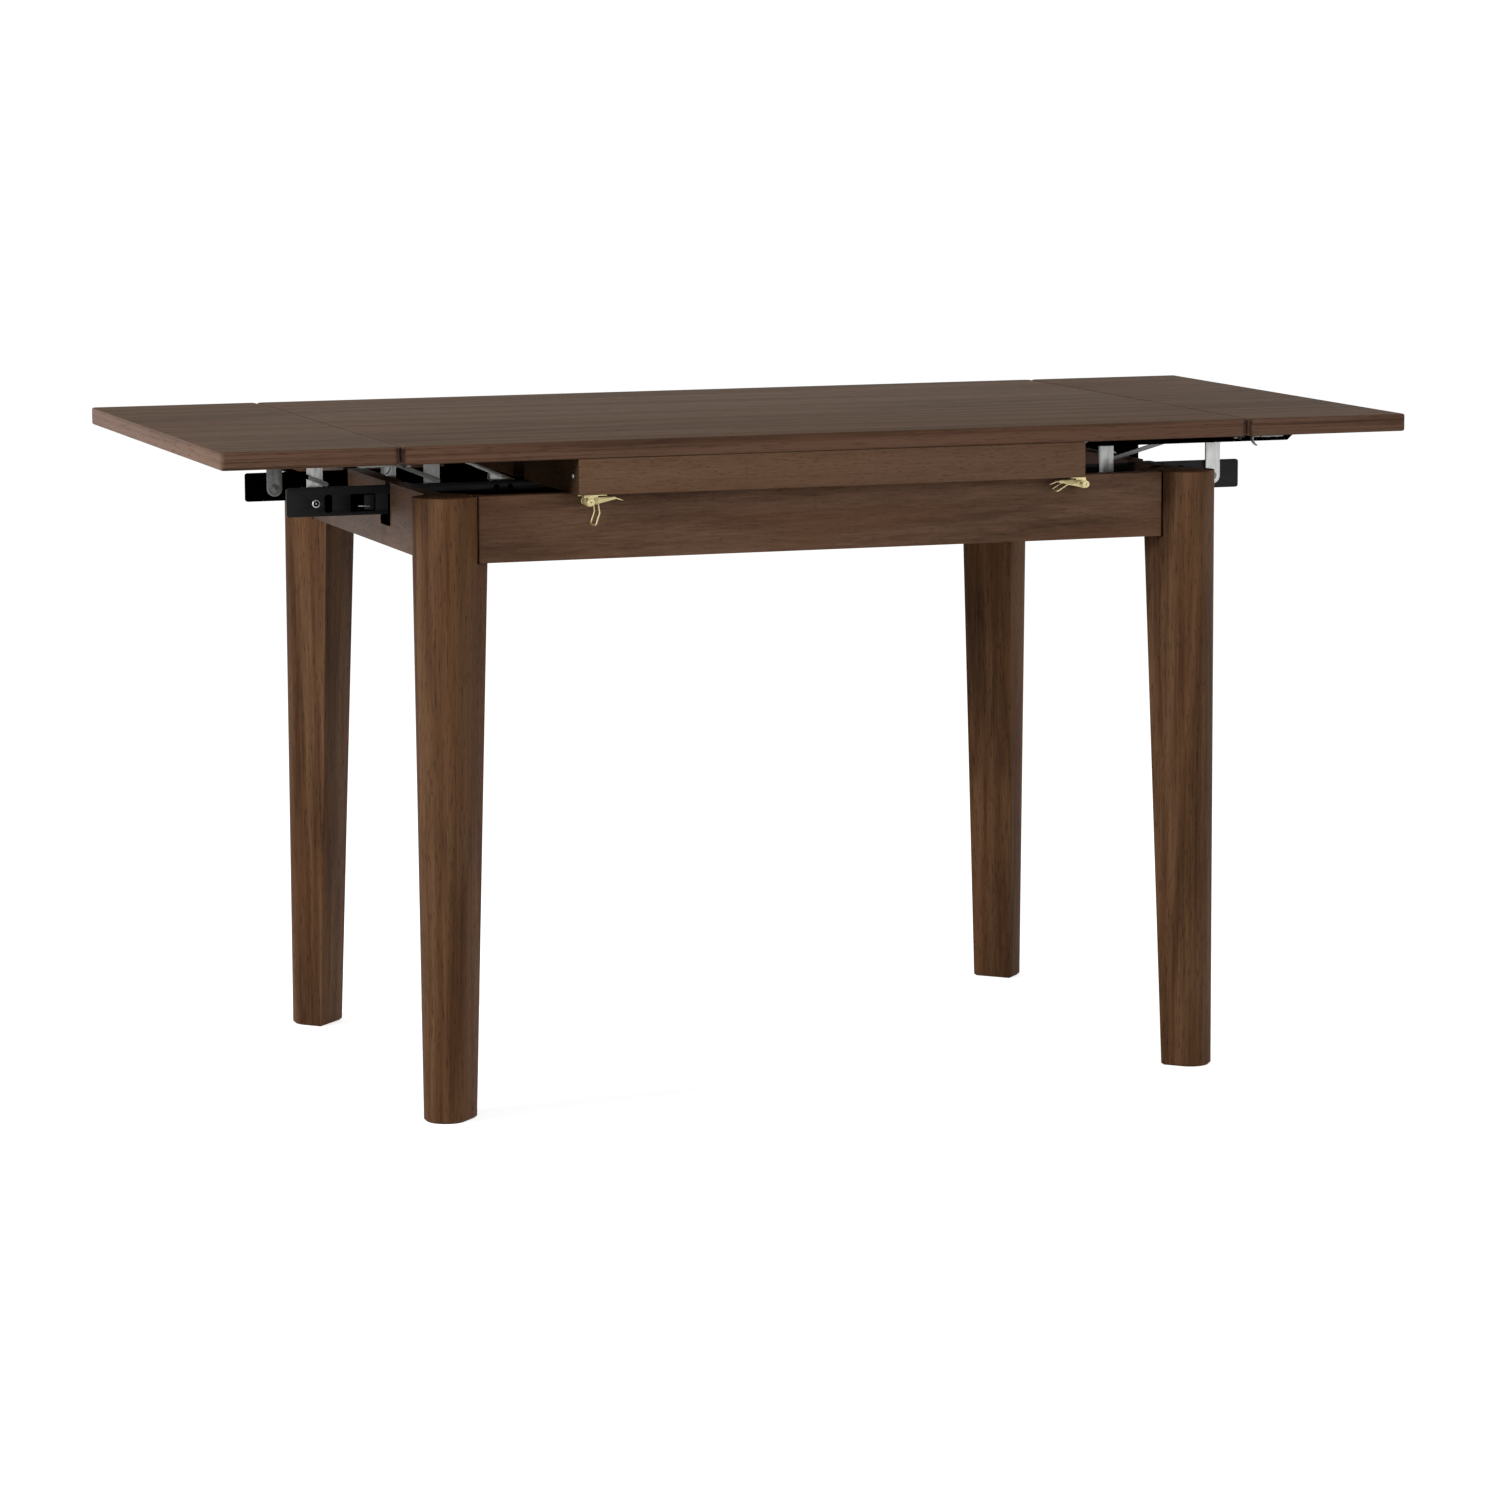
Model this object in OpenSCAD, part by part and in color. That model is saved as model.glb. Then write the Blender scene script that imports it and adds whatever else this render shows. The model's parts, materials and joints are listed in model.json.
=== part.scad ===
/* [Table top] */
// Length of the fixed middle top, in mm
top_length = 1000; // [900:10:1200]
// Depth of the top and of the leaves, front to back
top_depth = 660; // [600:10:800]
// Thickness of the top and of the leaves
top_thick = 20; // [15:1:30]
// Height of the table surface above the floor
table_height = 753; // [700:1:780]
// Width of one extension leaf
leaf_width = 199; // [150:1:240]
// Seam between the top and a raised leaf
seam_gap = 1; // [0.5:0.5:3]
// Corner radius where the top and a leaf meet
seam_corner_r = 8; // [2:1:20]
// Corner radius at the outer corners of a leaf
leaf_corner_r = 5; // [2:1:20]
// Easing of the long edges of the top
edge_ease = 1.5; // [0.5:0.5:4]

/* [Base frame] */
// Height of the aprons
apron_height = 73.5; // [60:0.5:100]
// Thickness of the aprons
apron_thick = 20; // [15:1:28]
// Set-back of a long apron from the legs' outer faces
long_apron_set = 11.6; // [8:0.1:16]
// Set-back of an end apron from the legs' outer faces
end_apron_set = 14.4; // [8:0.1:18]
// Distance from the middle of a leg's face to the end of a long apron
long_apron_start = 56.4; // [50:0.1:66]
// Distance from the middle of a leg's face to the end of an end apron
end_apron_start = 58.6; // [50:0.1:66]
// Length of an apron's end that is let into a leg
apron_housing = 60; // [50:1:80]
// Thickness of the corner blocks
block_thick = 24; // [18:1:34]
// Height of the corner blocks
block_height = 45; // [38:1:60]
// Radius of the leg bolts
bolt_r = 4; // [3:0.5:5]
// How far a leg bolt goes into its leg
bolt_reach = 40; // [25:1:50]

/* [Spacer frame] */
// Room for a stowed leaf under the middle top, at each end of the spacer frame
stow_bay = 200; // [190:5:230]
// Height of the spacer frame
spacer_height = 40; // [34:1:50]
// Width of the front and back spacer rails
spacer_rail = 40; // [24:1:50]
// Thickness of the two end rails of the spacer
spacer_end = 20; // [15:1:30]
// Set-back of the spacer from the long edge of the top
spacer_set = 1; // [0:1:20]

/* [Legs] */
// Depth of a leg at the floor, across its diagonal
leg_depth_foot = 49.9; // [35:0.1:60]
// Depth of a leg at the top of its taper
leg_depth_head = 68.1; // [50:0.1:80]
// Width of a leg at the floor
leg_width_foot = 49.8; // [35:0.2:60]
// Width of a leg at the top of its taper
leg_width_head = 67; // [50:0.5:80]
// Height at which the taper ends
taper_height = 640; // [500:5:660]
// Radius of the two outer edges of a leg
leg_edge_r = 24; // [8:1:24]
// Set-back of a leg's outer face from the end of the middle top
leg_inset_x = 33.1; // [15:0.1:60]
// Set-back of a leg's outer face from the long edge of the top
leg_inset_y = 17.4; // [8:0.1:40]
// How far the outer face leans inward up to the end of the taper
leg_lean = 5.4; // [0:0.2:12]

/* [Slide bars] */
// Height of a bar
bar_height = 33; // [25:1:40]
// Thickness of a bar
bar_thick = 3.5; // [3:0.5:5]
// How far a bar stands out beyond the middle top
bar_past = 71; // [50:1:90]
// Length of a bar
bar_length = 420; // [320:10:440]
// Distance of the left bars' outer faces from the middle line
left_lane = 99; // [80:1:115]
// Distance of the right bars' inner faces from the middle line
right_lane = 145.5; // [130:0.5:160]
// Length of the window in a bar
window_length = 29; // [20:1:34]
// Height of the window in a bar
window_height = 20; // [12:1:22]

// How far a sloping bracket starts outboard of the spacer
ramp_start = 3; // [2:1:10]
// Length of a sloping bracket's foot
ramp_foot = 30; // [24:1:40]
// Length of a sloping bracket
ramp_run = 79; // [60:1:80]
// Rise of a sloping bracket above its bar
ramp_rise = 33; // [20:1:34]
// Width of a sloping bracket
ramp_width = 9; // [6:0.5:10]
// Sheet thickness of a sloping bracket
ramp_sheet = 1.2; // [1:0.1:2]

/* [Lift links] */
// Distance between the two pivots of a link
link_length = 50; // [40:1:60]
// Width of a link
link_width = 18.4; // [14:0.2:22]
// Thickness of a link
link_thick = 3; // [2:0.5:4]
// How far the outer link stands out beyond the middle top
outer_link_past = 37; // [20:1:50]
// Distance between the outer and the inner link
link_spacing = 136; // [110:1:150]
// Radius of the pivot rivets
rivet_r = 3; // [2:0.5:4]
// Running clearance of a link on its rivet
pivot_clear = 0.05; // [0.02:0.01:0.1]
// Clearance of the inner link's upper hole, where the linkage is open
open_clear = 0.25; // [0.1:0.05:0.5]
// Side gap between bar, link and carrier
lane_gap = 0.3; // [0.2:0.1:0.6]

/* [Leaf carriers] */
// How far a carrier runs inward past the inner link
carrier_lead = 16; // [12:1:24]
// How far a carrier reaches out under the leaf
carrier_reach = 147; // [120:1:170]
// Depth of a carrier's upright web
carrier_depth = 20; // [16:1:24]
// Thickness of a carrier's sheet
carrier_thick = 2; // [1.5:0.5:3]
// Width of the flange that is screwed to the leaf
flange_width = 17; // [12:1:24]

/* [Stays] */
// Height of a stay's section
stay_height = 5; // [4:0.5:6]
// Length of a left stay between its pin and its shoe
left_stay = 74.7; // [60:0.1:90]
// Length of a right stay between its pin and its shoe
right_stay = 107.2; // [90:0.1:120]
// Distance of the left outer stay's pin from the outer link
left_outer_lead = 57; // [40:1:65]
// Distance of the left inner stay's pin from the inner link
left_inner_lead = 63; // [50:1:80]
// Distance of the right inner stay's pin from the inner link
right_inner_lead = 105.5; // [90:0.5:115]

/* [Guide channels] */
// Sheet thickness of a guide channel
channel_thick = 1.5; // [1:0.5:2.5]
// Clear width inside a guide channel
channel_inside = 16.7; // [15:0.1:22]
// How far a channel runs past the middle of the table
channel_past = 100; // [60:5:120]
// Width of the cross rail that carries the channels
cross_width = 30; // [20:1:40]
// Height of a channel's walls above its floor
wall_height = 22.6; // [16:0.1:28]
// How far the channel's end flange hangs below its floor
flange_drop = 11.2; // [6:0.1:20]

/* [Brass toggle latches] */
// Distance of the left latch pivots from the end of the spacer, inward
left_latch_in = 14.5; // [6:0.5:30]
// Distance of the right latch pivots from the end of the spacer, outward
right_latch_out = 1.5; // [-10:0.5:4]
// Distance of the latch pivots below the spacer
latch_drop = 8.2; // [6:0.1:12]
// Length of a latch lever from its pivot to its tip
lever_length = 31; // [24:1:36]
// Length of the thumb tab beyond the tip
lever_tab = 9; // [5:1:12]
// Width of a latch lever
lever_width = 12; // [9:0.5:14]
// Radius of a lever's round end
lever_round = 5; // [4:0.1:6]
// Distance of a bail's pivot from the lever's pivot
bail_offset = 8.6; // [6:0.1:12]
// Length of a bail's upper part
bail_upper = 13.3; // [10:0.1:18]
// Length of a bail's lower part
bail_lower = 14.2; // [10:0.1:18]
// Bend between the two parts of a bail
bail_bend = 27; // [0:1:40]
// Swing of the left bails from hanging down
left_bail_swing = 8; // [0:1:80]
// Swing of the right bails from hanging down
right_bail_swing = 86; // [0:1:90]
// Radius of the bail wire
wire_r = 0.8; // [0.6:0.1:1.2]

/* [Leaf locks] */
// Distance of a lock hook's outer end from the end of the middle top
lock_past = 36; // [30:1:45]
// Distance of the locks from the long edge of the top
lock_edge = 10; // [8:1:40]
// Length of a lock hook from its screw
lock_length = 27; // [20:1:28]

/* [Part shown] */
// The part to show

/* [Hidden] */

wood_top = [0.36, 0.28, 0.23];
wood_face = [0.34, 0.24, 0.18];
wood_leg = [0.30, 0.20, 0.15];
black_steel = [0.07, 0.07, 0.08];
grey_steel = [0.42, 0.43, 0.43];
zinc_steel = [0.72, 0.74, 0.73];
brass_metal = [0.80, 0.74, 0.50];

$fn = 48;
fit = 0.01;
top_under = table_height - top_thick;
frame_top = top_under - spacer_height;
apron_bottom = frame_top - apron_height;
leg_x = top_length / 2 - leg_inset_x;
leg_y = top_depth / 2 - leg_inset_y;
apron_face = leg_y - long_apron_set;
end_face = leg_x - end_apron_set;
apron_reach = leg_x - long_apron_start;
end_reach = leg_y - end_apron_start;
spacer_y = top_depth / 2 - spacer_set;
leaf_start = top_length / 2 + seam_gap;

bar_tip = top_length / 2 + bar_past;
outer_link_x = top_length / 2 + outer_link_past;
inner_link_x = outer_link_x - link_spacing;
carrier_start = inner_link_x - carrier_lead;
carrier_end = leaf_start + carrier_reach;
left_outer_pin = outer_link_x + left_outer_lead;
left_inner_pin = inner_link_x + left_inner_lead;
right_inner_pin = inner_link_x + right_inner_lead;
spacer_length = top_length - 2 * stow_bay;
lock_x = top_length / 2 + lock_past;
lock_y = top_depth / 2 - lock_edge;
left_latch_x = spacer_length / 2 - left_latch_in;
right_latch_x = spacer_length / 2 + right_latch_out;
latch_z = frame_top - latch_drop;

bar_top = frame_top - 3;
bar_low = bar_top - bar_height;
pivot_low = bar_low + 14.5;
pivot_high = pivot_low + link_length;
carrier_top = top_under - carrier_thick;
carrier_low = top_under - carrier_depth - carrier_thick;
head_r = 4.5;
head_thick = 1.2;

link_lane = bar_thick + lane_gap;
web_lane = link_lane + link_thick + lane_gap;
web_far = web_lane + carrier_thick;
wall_near = -2.2;
wall_far = wall_near + channel_inside;
floor_top = bar_low - 0.6;
floor_low = floor_top - channel_thick;

ramp_rivets = [7, 23];
ramp_rivet_r = 2;
notch_near = -21;
notch_far = 22;
notch_bridge = 4;

stay_pin_r = 2;
stay_pin_z = pivot_high - 0.5;
stay_foot_z = bar_top + 3;
stay_lane = 0.1;
stay_thick = 2;

leg_back = leg_lean + leg_depth_head;
block_gap = 0.7;
block_top = frame_top - 3;
block_low = block_top - block_height;
block_face = -leg_back - block_gap - block_thick;
bolt_edge = 10;
latch_pin_r = 1.3;
bail_pin_r = 1;
bail_rise = 1;
eye_wall = 0.9;
lever_sheet = 1.2;
plate_width = 24;
plate_sheet = 1.2;
left_plate_length = 26;
right_plate_length = 16;
window_lead = 69;
stop_lead = 14;
stop_r = 2.4;

function lane_at(side) = side < 0 ? left_lane : right_lane;
function lane_turn(side, row) = side < 0 ? -row : row;

// Shapes shared by several pieces

module rounded(w, h, r) {
  translate([r, 0]) square([w - 2 * r, h]);
  translate([0, r]) square([w, h - 2 * r]);
  for (x = [r, w - r], y = [r, h - r]) {
    translate([x, y]) circle(r);
  }
}

// Board outline: corner radius ra at its inner end and rb at its outer end
module board_outline(w, d, ra, rb) {
  hull() {
    for (s = [-1, 1]) {
      translate([ra, s * (d / 2 - ra)]) circle(ra, $fn = 32);
      translate([w - rb, s * (d / 2 - rb)]) circle(rb, $fn = 32);
    }
  }
}

// Board with eased upper and lower edges
module eased_board(w, d, ra, rb) {
  e = edge_ease;
  hull() {
    translate([0, 0, e]) linear_extrude(top_thick - 2 * e) board_outline(w, d, ra, rb);
    translate([e, 0, 0]) linear_extrude(top_thick) board_outline(w - 2 * e, d - 2 * e, ra - e, rb - e);
  }
}

// Turns a profile drawn in x and z into a plate that is t thick in y
module plate(y, t) {
  translate([0, y + t, 0]) rotate([90, 0, 0]) linear_extrude(t) children();
}

module pin_y(x, y, z, r, l) {
  translate([x, y + l, z]) rotate([90, 0, 0]) cylinder(r = r, h = l);
}

// Puts a piece that is drawn outboard in x, and away from the bar in y, on its side and row
module seat(side, row) {
  translate([0, row * lane_at(side), 0])
    mirror([0, lane_turn(side, row) < 0 ? 1 : 0, 0])
      mirror([side < 0 ? 1 : 0, 0, 0])
        children();
}

// Table top and leaves

module top() {
  color(wood_top)
    translate([-top_length / 2, 0, top_under])
      eased_board(top_length, top_depth, seam_corner_r, seam_corner_r);
}

module leaf(side) {
  color(wood_top)
    mirror([side < 0 ? 1 : 0, 0, 0])
      translate([leaf_start, 0, top_under])
        eased_board(leaf_width, top_depth, seam_corner_r, leaf_corner_r);
}

// Spacer frame under the middle top

module spacer_side(row) {
  color(wood_face)
    translate([-spacer_length / 2, row > 0 ? spacer_y - spacer_rail : -spacer_y, frame_top])
      cube([spacer_length, spacer_rail, spacer_height]);
}

module spacer_end_rail(side) {
  reach = spacer_y - spacer_rail;
  color(wood_face)
    difference() {
      translate([side > 0 ? spacer_length / 2 - spacer_end : -spacer_length / 2, -reach, frame_top])
        cube([spacer_end, 2 * reach, spacer_height]);
      for (row = [-1, 1]) {
        seat(side, row)
          translate([spacer_length / 2 - spacer_end - 1, notch_near, frame_top - 1])
            cube([spacer_end + 2, notch_far - notch_near, spacer_height - notch_bridge + 1]);
      }
    }
}

// Aprons

module apron_end_cut() {
  h = apron_housing;
  z = frame_top - apron_height / 2;
  for (sx = [-1, 1], sy = [-1, 1]) {
    translate([sx * (apron_reach - h / 2), sy * (apron_face - apron_thick / 2), z])
      cube([h, apron_thick, apron_height + 2], center = true);
    translate([sx * (end_face - apron_thick / 2), sy * (end_reach - h / 2), z])
      cube([apron_thick, h, apron_height + 2], center = true);
  }
}

module apron_long(row) {
  color(wood_face)
    translate([-apron_reach, row > 0 ? apron_face - apron_thick : -apron_face, apron_bottom])
      cube([2 * apron_reach, apron_thick, apron_height]);
}

module apron_short(side) {
  color(wood_face)
    difference() {
      translate([side > 0 ? end_face - apron_thick : -end_face, -end_reach, apron_bottom])
        cube([apron_thick, 2 * end_reach, apron_height]);
      for (row = [-1, 1]) {
        seat(side, row)
          translate([end_face - apron_thick - 1, wall_near - channel_thick - 0.3, floor_low - 0.3])
            cube([apron_thick + 2, channel_inside + 2 * channel_thick + 0.6, apron_height]);
      }
    }
}

// Legs stand at 45 degrees, with their rounded edges outward

module leg_outline(depth, width) {
  r = min(leg_edge_r, width / 2 - 0.5);
  translate([-depth, -width / 2]) square([depth - r, width]);
  translate([-r - 1, -width / 2 + r]) square([r + 1, width - 2 * r]);
  for (s = [-1, 1]) {
    translate([-r, s * (width / 2 - r)]) circle(r, $fn = 64);
  }
}

module leg_shape() {
  ease = 2.5;
  hull() {
    translate([-ease, 0, 0])
      linear_extrude(0.1) leg_outline(leg_depth_foot - 2 * ease, leg_width_foot - 2 * ease);
    translate([0, 0, ease])
      linear_extrude(0.1) leg_outline(leg_depth_foot, leg_width_foot);
    translate([-leg_lean, 0, taper_height - 0.1])
      linear_extrude(0.1) leg_outline(leg_depth_head, leg_width_head);
  }
  translate([-leg_lean, 0, taper_height - 0.1])
    linear_extrude(frame_top - taper_height + 0.1) leg_outline(leg_depth_head, leg_width_head);
}

module bolt_row(r, from, to) {
  for (z = [block_low + bolt_edge, block_top - bolt_edge]) {
    translate([from, 0, z]) rotate([0, 90, 0]) cylinder(r = r, h = to - from);
  }
}

module at_corner(sx, sy) {
  translate([sx * leg_x, sy * leg_y, 0])
    rotate([0, 0, sx > 0 ? sy * 45 : sy * 135])
      children();
}

module leg(sx, sy) {
  color(wood_leg)
    difference() {
      at_corner(sx, sy) leg_shape();
      apron_end_cut();
      at_corner(sx, sy) bolt_row(bolt_r, -leg_back - 1, -leg_back + bolt_reach);
    }
}

module corner_blocks() {
  inner = apron_face - apron_thick;
  inner_x = end_face - apron_thick;
  near = leg_x + leg_y - (leg_back + block_gap) * sqrt(2);
  far = near - block_thick * sqrt(2);
  color(wood_face)
    for (sx = [-1, 1], sy = [-1, 1]) {
      difference() {
        mirror([sx < 0 ? 1 : 0, 0, 0])
          mirror([0, sy < 0 ? 1 : 0, 0])
            translate([0, 0, block_low])
              linear_extrude(block_height)
                polygon([
                  [near - inner, inner],
                  [far - inner, inner],
                  [inner_x, far - inner_x],
                  [inner_x, near - inner_x]
                ]);
        at_corner(sx, sy) bolt_row(bolt_r, block_face - 10, -leg_back);
      }
    }
}

module leg_bolts() {
  color(zinc_steel)
    for (sx = [-1, 1], sy = [-1, 1]) {
      at_corner(sx, sy) {
        bolt_row(bolt_r, block_face - 2, -leg_back + bolt_reach);
        bolt_row(bolt_r + 3, block_face - 6, block_face);
      }
    }
}

module cross_rail() {
  color(wood_face)
    translate([-cross_width / 2, -apron_face + apron_thick, apron_bottom])
      cube([cross_width, 2 * (apron_face - apron_thick), floor_low - apron_bottom]);
}

// Guide channel with a flange that is screwed to the end apron

module channel(side, row) {
  w = channel_thick;
  color(black_steel)
    seat(side, row) {
      translate([-channel_past, wall_near - w, floor_low])
        cube([end_face + channel_past + 2, channel_inside + 2 * w, w]);
      translate([-channel_past, wall_near - w, floor_low])
        cube([end_face + channel_past + 2, w, w + wall_height]);
      translate([-channel_past, wall_far, floor_low])
        cube([end_face + channel_past + 2, w, w + wall_height]);
      difference() {
        translate([end_face, wall_near - w, floor_low - flange_drop])
          cube([2, channel_inside + 2 * w + 14, flange_drop + w]);
        pin_x(end_face - 1, wall_far + w + 8, floor_low - 5, 2, 4);
      }
    }
}

module pin_x(x, y, z, r, l) {
  translate([x, y, z]) rotate([0, 90, 0]) cylinder(r = r, h = l);
}

// Sloping sheet bracket that is riveted to the far side of a bar
module ramp_brackets(side) {
  start = spacer_length / 2 + ramp_start;
  low = bar_top + 1;
  peak = low + ramp_rise;
  color(zinc_steel)
    for (row = [-1, 1]) {
      seat(side, row) {
        difference() {
          plate(bar_thick, ramp_sheet)
            polygon([
              [start, low],
              [start, bar_top - 14],
              [start + ramp_foot, bar_top - 14],
              [start + ramp_foot, low + 8],
              [start + ramp_run, peak - 4],
              [start + ramp_run, peak]
            ]);
          for (x = ramp_rivets) {
            pin_y(start + x, 0, bar_top - 7, ramp_rivet_r, bar_thick + ramp_sheet + 1);
          }
        }
        plate(bar_thick + ramp_width - ramp_sheet, ramp_sheet)
          polygon([
            [start, low],
            [start + ramp_foot, low],
            [start + ramp_foot, low + 8],
            [start + ramp_run, peak - 4],
            [start + ramp_run, peak]
          ]);
        plate(bar_thick, ramp_width)
          polygon([
            [start, low],
            [start + ramp_run, peak],
            [start + ramp_run, peak - 1.4],
            [start + 3.5, low]
          ]);
      }
    }
}

// Slide bars, with the link pivots, two stop holes and a catch window

module bar(side, row) {
  color(black_steel)
    seat(side, row)
      difference() {
        plate(0, bar_thick)
          translate([bar_tip - bar_length, bar_low]) rounded(bar_length, bar_height, 3);
        plate(-1, bar_thick + 2)
          translate([outer_link_x - window_lead, bar_low + 4]) rounded(window_length, window_height, 1.5);
        for (z = [bar_low + 8.5, bar_low + 19.5]) {
          pin_y(outer_link_x - stop_lead, -1, z, stop_r, bar_thick + 2);
        }
        for (x = [outer_link_x, inner_link_x]) {
          pin_y(x, -1, pivot_low, rivet_r, bar_thick + 2);
        }
        for (x = ramp_rivets) {
          pin_y(spacer_length / 2 + ramp_start + x, -1, bar_top - 7, ramp_rivet_r, bar_thick + 2);
        }
      }
}

module bar_rivets(side) {
  color(zinc_steel) {
    for (row = [-1, 1], x = [outer_link_x, inner_link_x]) {
      seat(side, row) {
        pin_y(x, 0, pivot_low, rivet_r, link_lane + link_thick + 0.2);
        pin_y(x, -head_thick, pivot_low, head_r, head_thick);
        pin_y(x, link_lane + link_thick + 0.2, pivot_low, head_r, head_thick);
      }
    }
    for (row = [-1, 1], x = ramp_rivets) {
      seat(side, row) {
        translate([spacer_length / 2 + ramp_start + x, 0, bar_top - 7]) {
          pin_y(0, 0, 0, ramp_rivet_r, bar_thick + ramp_sheet);
          pin_y(0, -0.9, 0, ramp_rivet_r + 1.2, 0.9);
          pin_y(0, bar_thick + ramp_sheet, 0, ramp_rivet_r + 1.2, 0.9);
        }
      }
    }
  }
}

module link(side, row, x, high_clear) {
  r = link_width / 2;
  color(zinc_steel)
    seat(side, row)
      difference() {
        plate(link_lane, link_thick)
          translate([x - r, pivot_low - r]) rounded(link_width, link_length + link_width, r - fit);
        pin_y(x, link_lane - 1, pivot_low, rivet_r + pivot_clear, link_thick + 2);
        pin_y(x, link_lane - 1, pivot_high, rivet_r + high_clear, link_thick + 2);
      }
}

// Leaf carrier: an upright web beside the links and a flange under the leaf

module carrier(side, row) {
  pins = side < 0 ? [left_outer_pin, left_inner_pin] : [right_inner_pin];
  color(black_steel)
    seat(side, row) {
      difference() {
        plate(web_lane, carrier_thick)
          polygon([
            [carrier_start + 6, carrier_low],
            [carrier_end - 16, carrier_low],
            [carrier_end, carrier_top - 6],
            [carrier_end, top_under],
            [leaf_start + 2, top_under],
            [leaf_start + 2, carrier_top],
            [carrier_start, carrier_top],
            [carrier_start, carrier_low + 6]
          ]);
        for (x = [outer_link_x, inner_link_x]) {
          pin_y(x, web_lane - 1, pivot_high, rivet_r, carrier_thick + 2);
        }
        for (x = pins) {
          pin_y(x, web_lane - 1, stay_pin_z, stay_pin_r, carrier_thick + 2);
        }
      }
      translate([leaf_start + 2, web_far - flange_width, carrier_top])
        cube([carrier_end - leaf_start - 2, flange_width, carrier_thick]);
    }
}

module carrier_rivets(side) {
  pins = side < 0 ? [left_outer_pin, left_inner_pin] : [right_inner_pin];
  near = link_lane - 0.2;
  color(zinc_steel)
    for (row = [-1, 1]) {
      seat(side, row) {
        for (x = [outer_link_x, inner_link_x]) {
          pin_y(x, near, pivot_high, rivet_r, web_far - near);
          pin_y(x, near - head_thick, pivot_high, head_r, head_thick);
          pin_y(x, web_far, pivot_high, head_r, head_thick);
        }
        for (x = pins) {
          pin_y(x, -0.2, stay_pin_z, stay_pin_r, web_far + 0.2);
          pin_y(x, web_far, stay_pin_z, stay_pin_r + 1.2, head_thick);
          pin_y(x, -1, stay_pin_z, stay_pin_r + 1.2, 0.8);
        }
      }
    }
}

// Stay: hinged on the carrier, with its shoe on the bar

module stay(side, row, x, length) {
  tilt = asin((stay_pin_z - stay_foot_z) / length);
  h = stay_height;
  seat(side, row)
    translate([x, 0, stay_pin_z])
      rotate([0, -tilt, 0])
        difference() {
          union() {
            plate(stay_lane, stay_thick)
              translate([-length - h / 2, -h / 2]) rounded(length + h, h, h / 2 - fit);
            pin_y(0, stay_lane, 0, 3.6, stay_thick);
          }
          pin_y(0, -1, 0, stay_pin_r + pivot_clear, stay_thick + 2);
        }
}

module stay_pair(side, x, length) {
  color(grey_steel)
    for (row = [-1, 1]) {
      stay(side, row, x, length);
    }
}

// Toggle latches under the overhang of the spacer

module latch_seat(side, row) {
  translate([0, row * (apron_face + 14), latch_z])
    mirror([side > 0 ? 1 : 0, 0, 0])
      mirror([0, row < 0 ? 1 : 0, 0])
        translate([side < 0 ? -left_latch_x : -right_latch_x, 0, 0])
          children();
}

module latch_plates() {
  up = frame_top - latch_z;
  color(brass_metal)
    for (side = [-1, 1], row = [-1, 1]) {
      latch_seat(side, row) {
        translate([side < 0 ? -8 : 2, -plate_width / 2, up - plate_sheet])
          cube([side < 0 ? left_plate_length : right_plate_length, plate_width, plate_sheet]);
        for (y = [-plate_width / 2, plate_width / 2 - plate_sheet]) {
          difference() {
            union() {
              pin_y(0, y, 0, 3.2, plate_sheet);
              translate([side < 0 ? -3.2 : 0, y, 0]) cube([side < 0 ? 6.4 : 3.2, plate_sheet, up - 0.6]);
              translate([side < 0 ? -8 : 0, y, up - 3]) cube([side < 0 ? 16 : 12, plate_sheet, 2.4]);
            }
            pin_y(0, y - 1, 0, latch_pin_r, plate_sheet + 2);
          }
        }
        pin_y(0, -plate_width / 2, 0, latch_pin_r, plate_width);
      }
    }
}

// Outline of a lever from the side
module lever_outline() {
  r = lever_round;
  circle(r);
  polygon([
    [0, r],
    [lever_length - 1.5, r],
    [lever_length, r - 1.6],
    [lever_length, r - 2.6],
    [3, 1 - r]
  ]);
}

module latch_lever(side, row) {
  half = lever_width / 2;
  color(brass_metal)
    latch_seat(side, row)
      difference() {
        union() {
          difference() {
            plate(-half, lever_width) lever_outline();
            plate(-half + lever_sheet, lever_width - 2 * lever_sheet)
              translate([lever_sheet, -lever_sheet])
                polygon([
                  [5, lever_round],
                  [lever_length, lever_round],
                  [lever_length, -2 * lever_length],
                  [5, -2 * lever_length]
                ]);
          }
          plate(-2, 4)
            polygon([
              [lever_length - 3, lever_round],
              [lever_length + 0.5, lever_round - 1.4],
              [lever_length + lever_tab, lever_round - 4.4],
              [lever_length + lever_tab, lever_round - 5.4],
              [lever_length, lever_round - 2.6],
              [lever_length - 3, lever_round - 1.6]
            ]);
          pin_y(bail_offset, -lever_width / 2 - 3.6, bail_rise, bail_pin_r, lever_width + 7.2);
        }
        pin_y(0, -lever_width, 0, latch_pin_r + pivot_clear, 2 * lever_width);
      }
}

// Wire bail that swings on the lever, with its bend drawn from the side
module bail_side() {
  w = 2 * wire_r;
  lap = wire_r * tan(bail_bend / 2);
  translate([-wire_r, -bail_upper - lap]) square([w, bail_upper + lap - 1.4]);
  translate([0, -bail_upper])
    rotate(-bail_bend)
      translate([-wire_r, -bail_lower]) square([w, bail_lower + lap]);
}

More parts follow.
